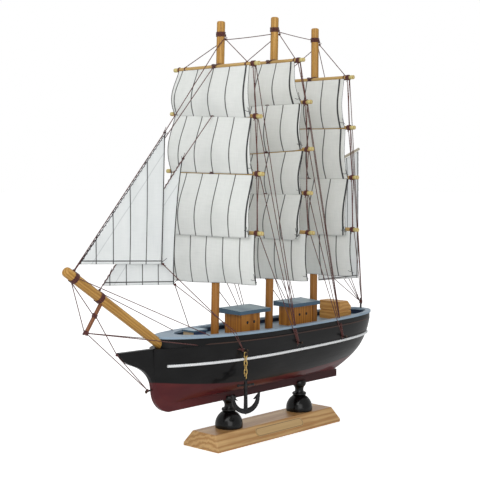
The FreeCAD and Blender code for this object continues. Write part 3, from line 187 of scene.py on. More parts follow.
class Graph:
    """A new material, and short calls for its node tree."""

    def __init__(self, name, roughness, coat=0.0, coat_roughness=0.1, metallic=0.0, sheen=0.0, specular=0.35):
        self.mat = bpy.data.materials.new(name)
        self.mat.use_nodes = True
        self.tree = self.mat.node_tree
        self.shader = self.tree.nodes["Principled BSDF"]
        levels = {
            "Roughness": roughness,
            "Coat Weight": coat,
            "Coat Roughness": coat_roughness,
            "Metallic": metallic,
            "Sheen Weight": sheen,
            "Specular IOR Level": specular,
        }
        for socket, level in levels.items():
            self.shader.inputs[socket].default_value = level

    def node(self, kind):
        """A new node."""
        return self.tree.nodes.new("ShaderNode" + kind)

    def put(self, socket, value):
        """Links a socket, or sets a number or colour."""
        if isinstance(value, bpy.types.NodeSocket):
            self.tree.links.new(value, socket)
        elif isinstance(value, (tuple, list)) and len(socket.default_value) == 4 and len(value) == 3:
            socket.default_value = (*value, 1.0)
        else:
            socket.default_value = value

    def math(self, operation, *values):
        """One number from others."""
        node = self.node("Math")
        node.operation = operation
        for socket, value in zip(node.inputs, values):
            self.put(socket, value)
        return node.outputs[0]

    def times(self, a, b):
        """A product."""
        return self.math("MULTIPLY", a, b)

    def plus(self, a, b):
        """A sum."""
        return self.math("ADD", a, b)

    def minus(self, a, b):
        """A difference."""
        return self.math("SUBTRACT", a, b)

    def sloped(self, value, slope, base):
        """A number scaled, then raised."""
        return self.math("MULTIPLY_ADD", value, slope, base)

    def span(self, a, b):
        """Length of a line with these two sides."""
        return self.math("SQRT", self.plus(self.times(a, a), self.times(b, b)))

    def parts(self, vector):
        """The three numbers of a vector."""
        node = self.node("SeparateXYZ")
        self.put(node.inputs[0], vector)
        return node.outputs

    def place(self):
        """The point on the piece, in metres, as x, y, z."""
        return self.parts(self.node("TexCoord").outputs["Object"])

    def place_xz(self):
        """The point's station and height alone."""
        place = self.place()
        return place[0], place[2]

    def facing(self):
        """The direction that the surface faces, as x, y, z."""
        return self.parts(self.node("TexCoord").outputs["Normal"])

    def layer(self, name):
        """A point's two distances on a cloth, in metres, from one of its layers."""
        node = self.node("UVMap")
        node.uv_map = name
        return self.parts(node.outputs[0])[:2]

    def streaks(self, scales, detail, parts=None):
        """Soft random values from 0 to 1, scaled along each axis."""
        if parts is None:
            parts = self.place()
        where = self.node("CombineXYZ")
        for socket, part, scale in zip(where.inputs, parts, scales):
            self.put(socket, self.times(part, scale))
        node = self.node("TexNoise")
        self.put(node.inputs["Vector"], where.outputs[0])
        node.inputs["Scale"].default_value = 1.0
        node.inputs["Detail"].default_value = detail
        return node.outputs["Fac"]

    def patches(self, scales, detail, low, high, share, parts=None):
        """Soft random patches, from 0 up to a share."""
        return self.times(self.ramp(self.streaks(scales, detail, parts), low, high), share)

    def band(self, value, low, high, soft):
        """1 between low and high, 0 outside, with soft edges."""
        rising = self.ramp(value, low - soft, low + soft)
        return self.times(rising, self.ramp(value, high + soft, high - soft))

    def ramp(self, value, start, end):
        """0 at start, 1 at end, smooth between."""
        node = self.node("MapRange")
        node.interpolation_type = "SMOOTHSTEP"
        self.put(node.inputs["Value"], value)
        node.inputs["From Min"].default_value = min(start, end)
        node.inputs["From Max"].default_value = max(start, end)
        node.inputs["To Min"].default_value = 0.0 if start < end else 1.0
        node.inputs["To Max"].default_value = 1.0 if start < end else 0.0
        return node.outputs["Result"]

    def mix(self, share, first, second):
        """A colour between two."""
        node = self.node("Mix")
        node.data_type = "RGBA"
        self.put(node.inputs[0], share)
        self.put(node.inputs[6], first)
        self.put(node.inputs[7], second)
        return node.outputs[2]

    def bump(self, height, distance, strength):
        """Small relief on the shader."""
        node = self.node("Bump")
        node.inputs["Distance"].default_value = distance
        node.inputs["Strength"].default_value = strength
        self.put(node.inputs["Height"], height)
        self.put(self.shader.inputs["Normal"], node.outputs["Normal"])

    def finish(self, colour, roughness=None):
        """The material with its colour, and with its roughness where that varies."""
        self.put(self.shader.inputs["Base Color"], colour)
        if roughness is not None:
            self.put(self.shader.inputs["Roughness"], roughness)
        return self.mat


def srgb(*levels):
    """A colour as seen on a screen, 0 to 255, for the shader."""
    shares = [level / 255.0 for level in levels]
    return tuple(share / 12.92 if share <= 0.04045 else ((share + 0.055) / 1.055) ** 2.4 for share in shares)


def grain_scales(along, across_scale, along_scale):
    """A scale for each axis: one along the grain and one across it."""
    return [along_scale if axis == along else across_scale for axis in "xyz"]


def wood(name, light, dark, along, ring, centre=(0.0, 0.0), roughness=0.45, coat=0.3, tint=None, lean=0.0):
    """Wood ringed round an axis, leaned up by an angle; tint is (colour, low, high), seen near its foot."""
    graph = Graph(name, roughness, coat, 0.18)
    x, y, z = graph.place()
    if lean:
        fore = graph.plus(graph.times(x, cos(lean)), graph.times(z, sin(lean)))
        z = graph.minus(graph.times(z, cos(lean)), graph.times(x, sin(lean)))
        x = fore
    parts = (x, y, z)
    across = [part for part, axis in zip(parts, "xyz") if axis != along]
    drift = graph.streaks(grain_scales(along, 260.0, 18.0), 4.0, parts)
    sides = [graph.minus(part, middle * MM) for part, middle in zip(across, centre)]
    wander = graph.times(drift, ring * 1.6 * MM)
    turns = graph.times(graph.plus(graph.span(*sides), wander), 2.0 * pi / (ring * MM))
    rings = graph.sloped(graph.math("SINE", turns), 0.5, 0.5)
    fibre = graph.streaks(grain_scales(along, 2600.0, 90.0), 2.0, parts)
    grain = graph.sloped(fibre, 0.45, graph.times(rings, 0.62))
    blotch = graph.patches((30.0, 30.0, 30.0), 2.0, 0.45, 0.75, 0.35)
    colour = graph.mix(blotch, graph.mix(grain, light, dark), dark)
    if tint:
        shade, low, high = tint
        colour = graph.mix(graph.times(graph.ramp(z, high * MM, low * MM), 0.75), colour, shade)
    graph.bump(grain, 0.00012, 0.5)
    return graph.finish(colour, graph.sloped(fibre, 0.16, roughness - 0.08))


def paint(name, colour, worn, roughness, coat):
    """Brushed paint: faint brush marks, uneven gloss and slightly different patches."""
    graph = Graph(name, roughness, coat, 0.2, specular=0.3)
    marks = graph.streaks((30.0, 30.0, 300.0), 4.0)
    blotch = graph.patches((60.0, 60.0, 60.0), 3.0, 0.4, 0.8, 0.5)
    graph.bump(marks, 0.00015, 0.35)
    return graph.finish(graph.mix(blotch, colour, worn), graph.sloped(marks, 0.2, roughness - 0.1))


BLACK = srgb(12, 12, 13)
BLACK_WORN = srgb(24, 24, 25)
MAROON = srgb(84, 30, 34)
MAROON_WORN = srgb(104, 42, 40)
MAROON_DARK = srgb(52, 18, 22)
MAROON_DARK_WORN = srgb(74, 34, 34)


def hull_paint():
    """Satin black above the waterline and maroon below, with a hand-painted edge between them."""
    graph = Graph("hull_paint", 0.34, 0.3, 0.12, specular=0.1)
    x, z = graph.place_xz()
    wobble = graph.times(graph.streaks((45.0, 45.0, 45.0), 2.0), 0.0012)
    ahead = graph.math("MAXIMUM", x, 0.0)
    astern = graph.math("MINIMUM", x, 0.0)
    rise = graph.times(graph.times(ahead, ahead), WATERLINE_BOW_RISE)
    sheer = graph.plus(rise, graph.times(graph.times(astern, astern), WATERLINE_STERN_RISE))
    line = graph.plus(graph.plus(WATERLINE, sheer), wobble)
    above = graph.ramp(graph.minus(z, line), -0.0004, 0.0006)
    marks = graph.streaks(HULL_BRUSH, 4.0)
    blotch = graph.patches((40.0, 60.0, 90.0), 3.0, 0.4, 0.75, 0.6)
    lower = graph.mix(blotch, MAROON, MAROON_WORN)
    upper = graph.mix(blotch, BLACK, BLACK_WORN)
    graph.bump(marks, 0.00025, 0.4)
    return graph.finish(graph.mix(above, lower, upper), graph.sloped(marks, 0.22, 0.24))


def keel_paint():
    """Maroon that darkens from the bow toward the stern."""
    graph = Graph("keel_paint", 0.4, 0.04, 0.16, specular=0.2)
    x = graph.place()[0]
    marks = graph.streaks(HULL_BRUSH, 4.0)
    bow = graph.mix(graph.times(marks, 0.6), MAROON, MAROON_WORN)
    aft = graph.mix(graph.times(marks, 0.6), MAROON_DARK, MAROON_DARK_WORN)
    graph.bump(marks, 0.0002, 0.4)
    return graph.finish(graph.mix(graph.ramp(x, 0.085, 0.03), bow, aft), graph.sloped(marks, 0.2, 0.3))


def bulwark_paint():
    """Black outside and on the foredeck's front; inside, blue paint darkened by painted shade."""
    graph = Graph("bulwark_paint", 0.35, 0.04, 0.18, specular=0.2)
    x, y = graph.place()[:2]
    nx, ny = graph.facing()[:2]
    out = graph.plus(graph.times(x, graph.times(nx, 0.25)), graph.times(y, ny))
    outside = graph.ramp(out, -0.002, 0.002)
    marks = graph.streaks(HULL_BRUSH, 4.0)
    # inside colour: the bulwark's blue paint darkened as painted shade
    inner = graph.mix(graph.times(marks, 0.7), srgb(34, 46, 72), srgb(58, 76, 104))
    outer = graph.mix(graph.times(marks, 0.6), BLACK, BLACK_WORN)
    graph.bump(marks, 0.0002, 0.35)
    return graph.finish(graph.mix(outside, inner, outer), graph.sloped(marks, 0.2, 0.26))


def roof_paint(name, top, side, worn):
    """Slate blue board: the upper face is paler and the sides darker, a painted shade by the way each face
    points; soft wear in patches.
    """
    graph = Graph(name, 0.5, 0.12, 0.3)
    # painted shade: faces that don't point up get the darker side colour
    upper = graph.ramp(graph.facing()[2], 0.5, 0.9)
    marks = graph.streaks((35.0, 260.0, 260.0), 4.0)
    pale = graph.mix(graph.patches((90.0, 90.0, 90.0), 3.0, 0.4, 0.75, 0.7), top, worn)
    graph.bump(marks, 0.0002, 0.4)
    return graph.finish(graph.mix(upper, side, pale), graph.sloped(marks, 0.2, 0.4))


def hatch_paint():
    """Pale wood in front; on the sides, the blue paint drawn dark as painted shade."""
    graph = Graph("hatch_sides", 0.5, 0.15, 0.3)
    front = graph.ramp(graph.facing()[0], 0.4, 0.7)
    fibre = graph.streaks((400.0, 60.0, 900.0), 3.0)
    pale = graph.mix(fibre, srgb(222, 203, 172), srgb(180, 150, 112))
    # the sides' dark blue is painted shade of the hatch's blue paint
    shaded_blue = graph.mix(fibre, srgb(38, 50, 84), srgb(60, 76, 112))
    graph.bump(fibre, 0.0002, 0.4)
    return graph.finish(graph.mix(front, shaded_blue, pale))


def label_film():
    """A blank varnished label, a little paler than the wood, with a thin brown border."""
    graph = Graph("label_film", 0.3, 0.4, 0.12)
    x, z = graph.place_xz()
    low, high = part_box("name_label")
    squash = LABEL_HEIGHT * MM / (high.z - low.z)
    beyond = graph.math("MAXIMUM", graph.minus(graph.math("ABSOLUTE", x), LABEL_STRAIGHT * MM), 0.0)
    up = graph.times(graph.minus(z, (low.z + high.z) / 2), squash)
    border = graph.band(graph.span(beyond, up), 2.6 * MM, 2.95 * MM, 0.08 * MM)
    fibre = graph.streaks((14.0, 500.0, 700.0), 3.0)
    film = graph.mix(fibre, srgb(214, 182, 128), srgb(190, 152, 98))
    return graph.finish(graph.mix(graph.times(border, 0.85), film, srgb(104, 72, 38)))


def metal(name, colour, worn, roughness, scale=400.0, metallic=1.0):
    """Metal with a fine uneven surface."""
    graph = Graph(name, roughness, metallic=metallic)
    speck = graph.streaks((scale, scale, scale), 4.0)
    graph.bump(speck, 0.0002, 0.4)
    shade = graph.mix(graph.ramp(speck, 0.4, 0.7), colour, worn)
    return graph.finish(shade, graph.sloped(speck, 0.3, roughness - 0.12))


def fibre_cord(name, colour, dark, roughness=0.75):
    """Spun thread: lighter and darker fibres."""
    graph = Graph(name, roughness, sheen=0.3)
    fuzz = graph.streaks((2200.0, 2200.0, 2200.0), 3.0)
    graph.bump(fuzz, 0.00012, 0.6)
    return graph.finish(graph.mix(graph.ramp(fuzz, 0.35, 0.7), colour, dark))


def sail_cloth(name, white, shade, stripes, edges=None):
    """Plain-woven cloth. stripes is (pitch, width, first width) and edges is (foot, hem) lines, all drawn;
    the hem line is painted shade along the edge of the doubled cloth.
    """
    graph = Graph(name, 0.88, sheen=0.25)
    across, down = graph.layer("cloth")
    warp, weft = [graph.math("SINE", graph.times(way, 2 * pi / (WEAVE_PITCH * MM))) for way in (across, down)]
    slub = graph.streaks((900.0, 90.0, 1.0), 3.0, (across, down, 0.0))
    cross = graph.streaks((90.0, 900.0, 1.0), 3.0, (across, down, 3.0))
    cloud = graph.patches((45.0, 45.0, 1.0), 2.0, 0.4, 0.75, 0.3, (across, down, 7.0))
    threads = graph.sloped(graph.plus(slub, cross), 0.35, graph.times(graph.times(warp, weft), 0.08))
    colour = graph.mix(cloud, graph.mix(threads, white, shade), shade)
    pitch, width, first = stripes
    spot = graph.plus(across, graph.times(graph.minus(slub, 0.5), 0.22 * MM))
    turn = graph.math("DIVIDE", spot, pitch * MM)
    off = graph.times(graph.math("ABSOLUTE", graph.minus(turn, graph.math("ROUND", turn))), pitch * MM)
    line = graph.ramp(off, (width / 2 + 0.14) * MM, (width / 2 - 0.14) * MM)
    bold = graph.ramp(graph.math("ABSOLUTE", spot), (first / 2 + 0.16) * MM, (first / 2 - 0.16) * MM)
    marks = graph.math("MAXIMUM", graph.times(line, 0.95), graph.times(bold, 0.98))
    if edges:
        from_luff, from_foot = graph.layer("edges")
        foot, hem = edges
        ink = graph.band(from_foot, (foot - 0.38) * MM, (foot + 0.38) * MM, 0.14 * MM)
        # a faint grey line along the hem: painted shade at the edge of the doubled cloth
        hem_edge_shade = graph.band(from_luff, (hem - 0.3) * MM, (hem + 0.3) * MM, 0.3 * MM)
        marks = graph.math("MAXIMUM", marks, graph.times(ink, 0.95))
        colour = graph.mix(graph.times(hem_edge_shade, 0.3), colour, srgb(120, 128, 132))
    graph.bump(threads, 0.00012, 0.5)
    return graph.finish(graph.mix(marks, colour, srgb(38, 36, 40)))


# ---------------------------------------------------------------- mesh making

def add_object(name, data):
    """A new object in the scene."""
    obj = bpy.data.objects.new(name, data)
    bpy.context.scene.collection.objects.link(obj)
    return obj


def add_mesh(name, verts, faces, mat):
    """A new mesh object of one material."""
    mesh = bpy.data.meshes.new(name)
    mesh.from_pydata(verts, [], faces)
    mesh.update()
    mesh.materials.append(mat)
    return add_object(name, mesh)


def piece(name, verts, faces, mat):
    """A new smooth mesh piece that rides on the ship."""
    obj = add_mesh(name, verts, faces, mat)
    for polygon in obj.data.polygons:
        polygon.use_smooth = True
    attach(obj, BODY)
    return obj


def spread(points, step):
    """Points along the same runs, no further apart than step."""
    found = []
    for a, b in zip(points, points[1:]):
        count = max(1, ceil((b - a).length / step))
        found.extend(a + (b - a) * (i / count) for i in range(count))
    return found + [points[-1]]


class Skein:
    """Many tubes of thread in one mesh."""

    def __init__(self):
        self.verts = []
        self.faces = []

    def tube(self, points, radius, sides=6, ply=2, depth=0.2, closed=False, pitch=PLY_PITCH):
        """A tube in millimetres through the points, its surface waved round like twisted plies."""
        count = len(points)
        start = len(self.verts)
        side = None
        walked = 0.0
        for i, point in enumerate(points):
            ahead = points[(i + 1) % count] if closed or i + 1 < count else point
            behind = points[i - 1] if closed or i > 0 else point
            run = (ahead - behind).normalized()
            if side is None:
                side = run.orthogonal().normalized()
            side = (side - run * side.dot(run)).normalized()
            across = run.cross(side)
            walked += (point - behind).length if i else 0.0
            lead = walked / pitch * 2 * pi
            for k in range(sides):
                angle = 2 * pi * k / sides
                wave = 1.0 - depth * (0.5 - 0.5 * cos(ply * (angle - lead / ply)))
                out = side * cos(angle) + across * sin(angle)
                self.verts.append((point + out * radius * wave) * MM)
        rings = count if closed else count - 1
        for i in range(rings):
            for k in range(sides):
                a = start + i * sides + k
                b = start + i * sides + (k + 1) % sides
                c = start + ((i + 1) % count) * sides + (k + 1) % sides
                d = start + ((i + 1) % count) * sides + k
                self.faces.append((a, b, c, d))
        if not closed:
            self.faces.append(tuple(start + k for k in reversed(range(sides))))
            self.faces.append(tuple(start + (count - 1) * sides + k for k in range(sides)))

    def line(self, start, end, sag=0.0):
        """A thread between two points that hangs sag lower in its middle."""
        points = spread([start, end], STEP)
        last = len(points) - 1
        for i, point in enumerate(points):
            share = i / last
            points[i] = point - UP * (4 * sag * share * (1 - share))
        self.tube(points, THREAD)

    def run(self, points):
        """A taut thread through several points."""
        self.tube(spread(points, STEP), THREAD)

    def coil(self, centre, axis, radius, turns, length):
        """Thread wound round a spar, a little unevenly."""
        axis = axis.normalized()
        e1 = axis.orthogonal().normalized()
        e2 = axis.cross(e1)
        count = int(turns * 18)
        phase = rng.uniform(0, 2 * pi)
        points = []
        for i in range(count + 1):
            angle = 2 * pi * turns * i / count + phase
            along = length * (i / count - 0.5) + 0.12 * sin(angle * 0.37)
            out = radius + WAX_THREAD * 0.9 + 0.06 * sin(angle * 0.61 + phase)
            points.append(centre + axis * along + (e1 * cos(angle) + e2 * sin(angle)) * out)
        self.tube(points, WAX_THREAD, 6, 2, 0.12)

    def knot(self, centre, size):
        """An overhand knot pulled tight."""
        turn = rng.uniform(0, 2 * pi)
        points = []
        for i in range(36):
            t = 2 * pi * i / 36
            x = sin(t) + 2 * sin(2 * t)
            y = cos(t) - 2 * cos(2 * t)
            z = -sin(3 * t) * 1.6
            spin = Vector((x * cos(turn) - z * sin(turn), y, x * sin(turn) + z * cos(turn)))
            points.append(centre + spin * (size / 3.0))
        self.tube(points, WAX_THREAD, 6, 2, 0.1, True)

    def whisker(self, start, way, length, bend):
        """A loose thread end that sets off one way and curls."""
        points = []
        run = Vector(way).normalized()
        sidewise = run.cross(Vector((0.3, 0.5, 1.0))).normalized()
        for i in range(13):
            t = i / 12
            points.append(start + run * (length * t) + sidewise * (bend * t * t) + UP * (bend * 0.6 * t ** 3))
        self.tube(points, CHAFE, 5, 2, 0.1)

    def hem(self, place, u, count, radius, ply=2, depth=0.25, pitch=1.8):
        """A cord down one edge of a sail."""
        self.tube([place(u, j / count) for j in range(count + 1)], radius, 6, ply, depth, False, pitch)

    def piece(self, name, mat, slot_name="thread"):
        """The finished mesh piece."""
        return piece(name, self.verts, self.faces, mat)


def lathe(profile, turns):
    """A round surface from (radius, height) pairs about z."""
    verts = []
    faces = []
    count = len(profile)
    for k in range(turns):
        angle = 2 * pi * k / turns
        verts.extend((r * cos(angle), r * sin(angle), z) for r, z in profile)
    for k in range(turns):
        n = (k + 1) % turns
        faces.extend(
            (k * count + i, n * count + i, n * count + i + 1, k * count + i + 1) for i in range(count - 1)
        )
    return verts, faces


# ---------------------------------------------------------------- the design's own lines

def mast_at(name, level):
    """Centre of a mast at a height."""
    foot, head, height = MASTS[name]
    return Vector((foot + (head - foot) * (level - DECK_Z) / height, 0.0, level))


def masthead(name, drop=MASTHEAD_DROP):
    """Centre of a mast, down from its top."""
    return mast_at(name, DECK_Z + MASTS[name][2] - drop)


def all_yards():
    """Every yard, as its mast's name and its number from the top."""
    return [(name, index) for name in YARDS for index in range(len(YARDS[name]))]


def yard_level(name, index):
    """Height of a yard's middle."""
    return DECK_Z + YARDS[name][index][0]


def yard_half(name, index):
    """Half a yard's length."""
    return YARDS[name][index][1]


def yard_slope(name, index):
    """Rise of a yard toward port."""
    return tan(radians(YARDS[name][index][2]))


def yard_x(name, level):
    """Station of a yard's centre line."""
    return mast_at(name, level).x + MAST_RADIUS + YARD_GAP + YARD_RADIUS


def yard_at(name, index, out):
    """A point on a yard's centre line, out from the mast."""
    level = yard_level(name, index)
    return Vector((yard_x(name, level), out, level + out * yard_slope(name, index)))


def yardarm(name, index, side):
    """Centre of the knot near a yard's end."""
    return yard_at(name, index, side * (yard_half(name, index) - KNOT_INSET))


def sprit_at(share):
    """A point on the bowsprit's centre line."""
    return SPRIT_ROOT + (SPRIT_TIP - SPRIT_ROOT) * share


SPRIT_RUN = (SPRIT_TIP - SPRIT_ROOT).normalized()
SPRIT_DOWN = Vector((SPRIT_RUN.z, 0.0, -SPRIT_RUN.x))


def wrap_top(share):
    """Where a stay meets a wrap on the bowsprit."""
    return sprit_at(share) + Vector((0, 0, (SPRIT_RADIUS + 0.55) / SPRIT_RUN.x))


def lashing_front(name, index):
    """Where a stay is tied in front of a yard's lashing."""
    level = yard_level(name, index)
    return Vector((yard_x(name, level) + YARD_RADIUS + 0.6, 0.0, level))


def hull_side(x, level, side):
    """The hull's surface at a station and a height."""
    start = Vector((x * MM, side * OUTSIDE * MM, level * MM))
    hit = HULL_TREE.ray_cast(start, Vector((0, -side, 0)))[0]
    return Vector((x, hit.y / MM, level))


def channel(name, side):
    """Where the threads of one mast are tied at the hull's side."""
    x, level = CHANNELS[name]
    return hull_side(x, level, side) + Vector((0, side * CHANNEL_STANDOFF, 0))


hull_mesh = NODES["hull"].data
HULL_TREE = BVHTree.FromPolygons(
    [v.co.copy() for v in hull_mesh.vertices], [tuple(p.vertices) for p in hull_mesh.polygons]
)


# ---------------------------------------------------------------- sails

def grid_sheet(name, rows, columns, place, cloth, edges, mat):
    """A cloth sheet from a surface; place, cloth and edges take (across, down) from 0 to 1."""
    verts = [place(i / columns, j / rows) * MM for j in range(rows + 1) for i in range(columns + 1)]
    faces = []
    for j in range(rows):
        for i in range(columns):
            a = j * (columns + 1) + i
            faces.append((a, a + 1, a + columns + 2, a + columns + 1))
    obj = piece(name, verts, faces, mat)
    for layer_name, rule in (("cloth", cloth), ("edges", edges)):
        if rule is None:
            continue
        layer = obj.data.uv_layers.new(name=layer_name)
        for loop in obj.data.loops:
            j, i = divmod(loop.vertex_index, columns + 1)
            u, v = rule(i / columns, j / rows)
            layer.data[loop.index].uv = (u * MM, v * MM)
    solid = obj.modifiers.new("thickness", "SOLIDIFY")
    solid.thickness = SHEET_SHOWN * MM
    solid.offset = 0.0
    return obj


def sail_edges(name, index):
    """Upper and lower edge of a square sail: centre point and half width of each."""
    lowest = len(YARDS[name]) - 1
    level = yard_level(name, index)
    free = index == lowest
    half = yard_half(name, index) - (COURSE_INSET if free else SAIL_INSET)
    top = Vector((yard_x(name, level) + (COURSE_SKIN if free else SKIN), 0.0, level - HEAD_DROP))
    if free:
        return top, half, top + Vector((FREE_LEAN[name], 0.0, -FREE_DROP)), half
    low = yard_level(name, index + 1)
    low_half = yard_half(name, index + 1) - SAIL_INSET
    if index + 1 == lowest:
        x = yard_x(name, low) + COURSE_SKIN + TOPSAIL_CLEAR
        return top, half, Vector((x, 0.0, low - TOPSAIL_HANG[name])), low_half
    drop = FOOT_DROP if SAIL_NAMES[name][index] in STRIP_SHOWS else HEAD_DROP
    return top, half, Vector((yard_x(name, low) + SKIN, 0.0, low - drop)), low_half


def square_sail(name, index, mat, cord_mat):
    """A square sail that bellies forward, with its roped starboard edge."""
    sail = SAIL_NAMES[name][index]
    top, half, bottom, low_half = sail_edges(name, index)
    free = index + 1 == len(YARDS[name])
    starboard, port = (FREE_BILLOW, FREE_BILLOW) if free else BILLOWS[name]
    reach = 0.0 if free else SAIL_REACH
    head_gap, foot_gap = STRIPE_GAPS.get(sail, STRIPE_GAP)
    head_slope = yard_slope(name, index)
    foot_slope = FREE_SLOPE if free else yard_slope(name, index + 1)
    curl = CURLS.get(sail, 0.6)
    phase = rng.uniform(0, 6.28)
    length = (top - bottom).length + 8 * starboard ** 2 / (3 * (top - bottom).length)
    mean = half + low_half + reach

    def place(u, v):
        width = half + (low_half - half) * v
        y = width * (2 * u - 1) - reach * (1 - u)
        slope = head_slope + (foot_slope - head_slope) * v
        belly = sin(pi * v ** 1.25)
        x = top.x + (bottom.x - top.x) * v + (starboard + (port - starboard) * u) * belly + CLOTH_THICK / 2
        z = top.z + (bottom.z - top.z) * v + y * slope
        soft = sin(u * 9.0 + phase) * 0.22 + sin(u * 17.0 + v * 3.0 + phase * 2) * 0.1
        x += belly * soft
        if free:
            x += v * v * (0.35 * sin(u * 13.0 + phase) + 0.25 * sin(u * 29.0))
            z += v * v * 0.35 * sin(u * 8.0 + phase)
        corner = max(0.0, (u - 0.86) / 0.14) ** 2 * max(0.0, (v - 0.72) / 0.28) ** 2
        x += curl * corner * 0.8
        z += curl * corner * 0.55
        y -= curl * corner * 0.35
        return Vector((x, y, z))

    def cloth(u, v):
        return mean * (1 - u) - head_gap - (foot_gap - head_gap) * v, length * v

    obj = grid_sheet(sail + "_cloth", 40, 64, place, cloth, None, mat)
    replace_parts(obj, sail)
    cord = Skein()
    for u in (0.0, 1.0):
        cord.hem(place, u, 48, 0.46 if free or u == 0.0 else 0.22, 3, 0.2, 1.6)
    if free:
        foot = [place(i / 80, 1.0) for i in range(81)]
        cord.tube(foot, 0.24, 6, 3, 0.2, False, 1.6)
    for k in range(3):
        run = (0.5, 0.25, 0.75 - 0.5 * k)
        cord.whisker(place(1.0, 0.97 - 0.045 * k), run, 3.6 + 2.4 * rng.random(), 2.2 * (1 - 2 * (k % 2)))
    hem = cord.piece(sail + "_boltrope", cord_mat, "sail_cloth")
    width = 2 * max(half, low_half) + reach


def jib_corners(name):
    """Head, tack and clew of a jib close under its stay."""
    head, wrap, share, clew_x, drop, side = JIBS[name]
    low = wrap_top(SPRIT_WRAPS[wrap])
    run = (low - head).normalized()
    off = Vector((run.z, 0.0, -run.x)) * LUFF_GAP + Vector((0, side, 0))
    tack = head + (low - head) * share + off
    return head + run * 2.0 + off, tack, Vector((clew_x, side, tack.z - drop))


def jib_sail(name, mat, cord_mat):
    """A three-cornered sail laced to its stay."""
    head, tack, clew = jib_corners(name)
    hollow, belly = JIB_SHAPES[name]
    luff = (tack - head).normalized()
    normal = Vector((-luff.z, 0.0, luff.x))
    if (clew - head).dot(normal) < 0:
        normal = -normal
    foot_run = (tack - clew).normalized()
    foot_up = Vector((-foot_run.z, 0.0, foot_run.x))
    if foot_up.z < 0:
        foot_up = -foot_up

    def place(u, v):
        fore = head + (tack - head) * v
        aft = head + (clew - head) * v
        aft = aft + Vector((hollow * 4 * v * (1 - v), 0.0, 0.0))
        point = fore + (aft - fore) * u
        swell = belly * 4 * u * (1 - u) * sin(pi * min(1.0, v * 0.95)) * v
        ripple = 0.18 * sin(point.x * 0.42) * sin(pi * v)
        return point + Vector((0.0, swell + ripple, 0.0))

    def cloth(u, v):
        point = place(u, v)
        leech_x = place(1.0, v).x
        upright = min(1.0, abs(point.x - leech_x) / (3 * JIB_PITCH))
        return point.x - leech_x + (leech_x - clew.x) * upright, head.z - point.z

    def edges(u, v):
        point = place(u, v)
        return (point - head).dot(normal), (point - clew).dot(foot_up)

    obj = grid_sheet(name + "_cloth", 72, 36, place, cloth, edges, mat)
    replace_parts(obj, name)
    cord = Skein()
    cord.hem(place, 1.0, 90, 0.62)
    for k in range(2):
        cord.whisker(place(1.0, 89 / 90), (-0.6, 0.2, 0.6 - 1.1 * k), 4.0, 1.5 - 2 * k)
    for k in range(3):
        cord.whisker(place(1.0, 1 / 90), (-0.35 + 0.2 * k, 0.3, 0.9), 3.0 + k, 1.0 - k)
    cord.hem(place, 0.0, 120, 0.3)
    between = Vector((luff.z, 0.0, -luff.x)) * (LUFF_GAP * 0.5)
    lacing = []
    turns = (tack - head).length / LACING_PITCH
    for i in range(int(turns * 12) + 1):
        angle = 2 * pi * i / 12
        side = (normal * cos(angle) + PORT * sin(angle)) * 0.58
        lacing.append(head + luff * (LACING_PITCH * i / 12) - between * 0.5 + side)
    cord.tube(lacing, 0.18, 5, 2, 0.1)
    stripe_x = clew.x + JIB_PITCH
    while stripe_x < tack.x - 4.0:
        up = (stripe_x - head.x) / (tack.x - head.x)
        cord.whisker(place(0.0, up), (-0.1, 0.15, 1.0), 4.2, 0.8)
        stripe_x += JIB_PITCH
    hem = cord.piece(name + "_boltrope", cord_mat, "sail_cloth")


def spanker_sail(mat, cord_mat):
    """The four-cornered sail under the gaff."""
    throat = mast_at("mizzen", GAFF_THROAT_Z) - Vector((MAST_RADIUS + 0.7, 0, 0))
    run = (GAFF_PEAK - throat).normalized()
    under = Vector((run.z, 0.0, -run.x))
    if under.z > 0:
        under = -under
    under = under * (GAFF_RADIUS + 0.5)
    luff = throat + run * 1.5 + under
    peak = GAFF_PEAK - run * 1.5 + under
    clew = Vector((peak.x - 0.5, 0.0, SPANKER_CLEW_Z))
    tack = Vector((luff.x - 0.5, 0.0, SPANKER_TACK_Z))

    def place(u, v):
        upper = luff + (peak - luff) * u
        lower = tack + (clew - tack) * u
        point = upper + (lower - upper) * v
        swell = 1.3 * 4 * u * (1 - u) * (1 - (2 * v - 1) ** 4)
        ripple = 0.2 * sin(point.x * 0.37) * sin(pi * v)
        return point + Vector((0.0, swell + ripple, 0.0))

    def cloth(u, v):
        point = place(u, v)
        return point.x - clew.x - 1.6, -point.z

    def edges(u, v):
        point = place(u, v)
        return luff.x - point.x + 40.0, point.z - clew.z

    obj = grid_sheet("spanker_cloth", 60, 44, place, cloth, edges, mat)
    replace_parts(obj, "spanker")
    cord = Skein()
    cord.hem(place, 1.0, 80, 0.4)
    cord.hem(place, 0.0, 80, 0.3)
    hem = cord.piece("spanker_boltrope", cord_mat, "sail_cloth")


# ---------------------------------------------------------------- rigging

def lashing_half(mast, yard, slant, shift, side):
    """Half a turn of lashing, on one side: from behind the mast, round it and over the yard's front."""
    wide = MAST_RADIUS + 0.35
    tall = YARD_RADIUS + 0.35
    front = yard + YARD_RADIUS
    rise = slant * side
    return [
        mast + Vector((-wide * 0.7, side * wide * 0.75, shift * 0.9)),
        mast + Vector((0.0, side * (wide + 0.1), rise * tall * 0.7 + shift * 0.5)),
        Vector((yard - 1.0, side * wide * 0.95 + shift, mast.z + rise * (tall + 0.15))),
        Vector((yard + 0.6, side * wide * 0.7 + shift, mast.z + rise * (tall + 0.1))),
        Vector((front + 0.45, side * wide * 0.45 + shift, mast.z + rise * tall * 0.55)),
    ]


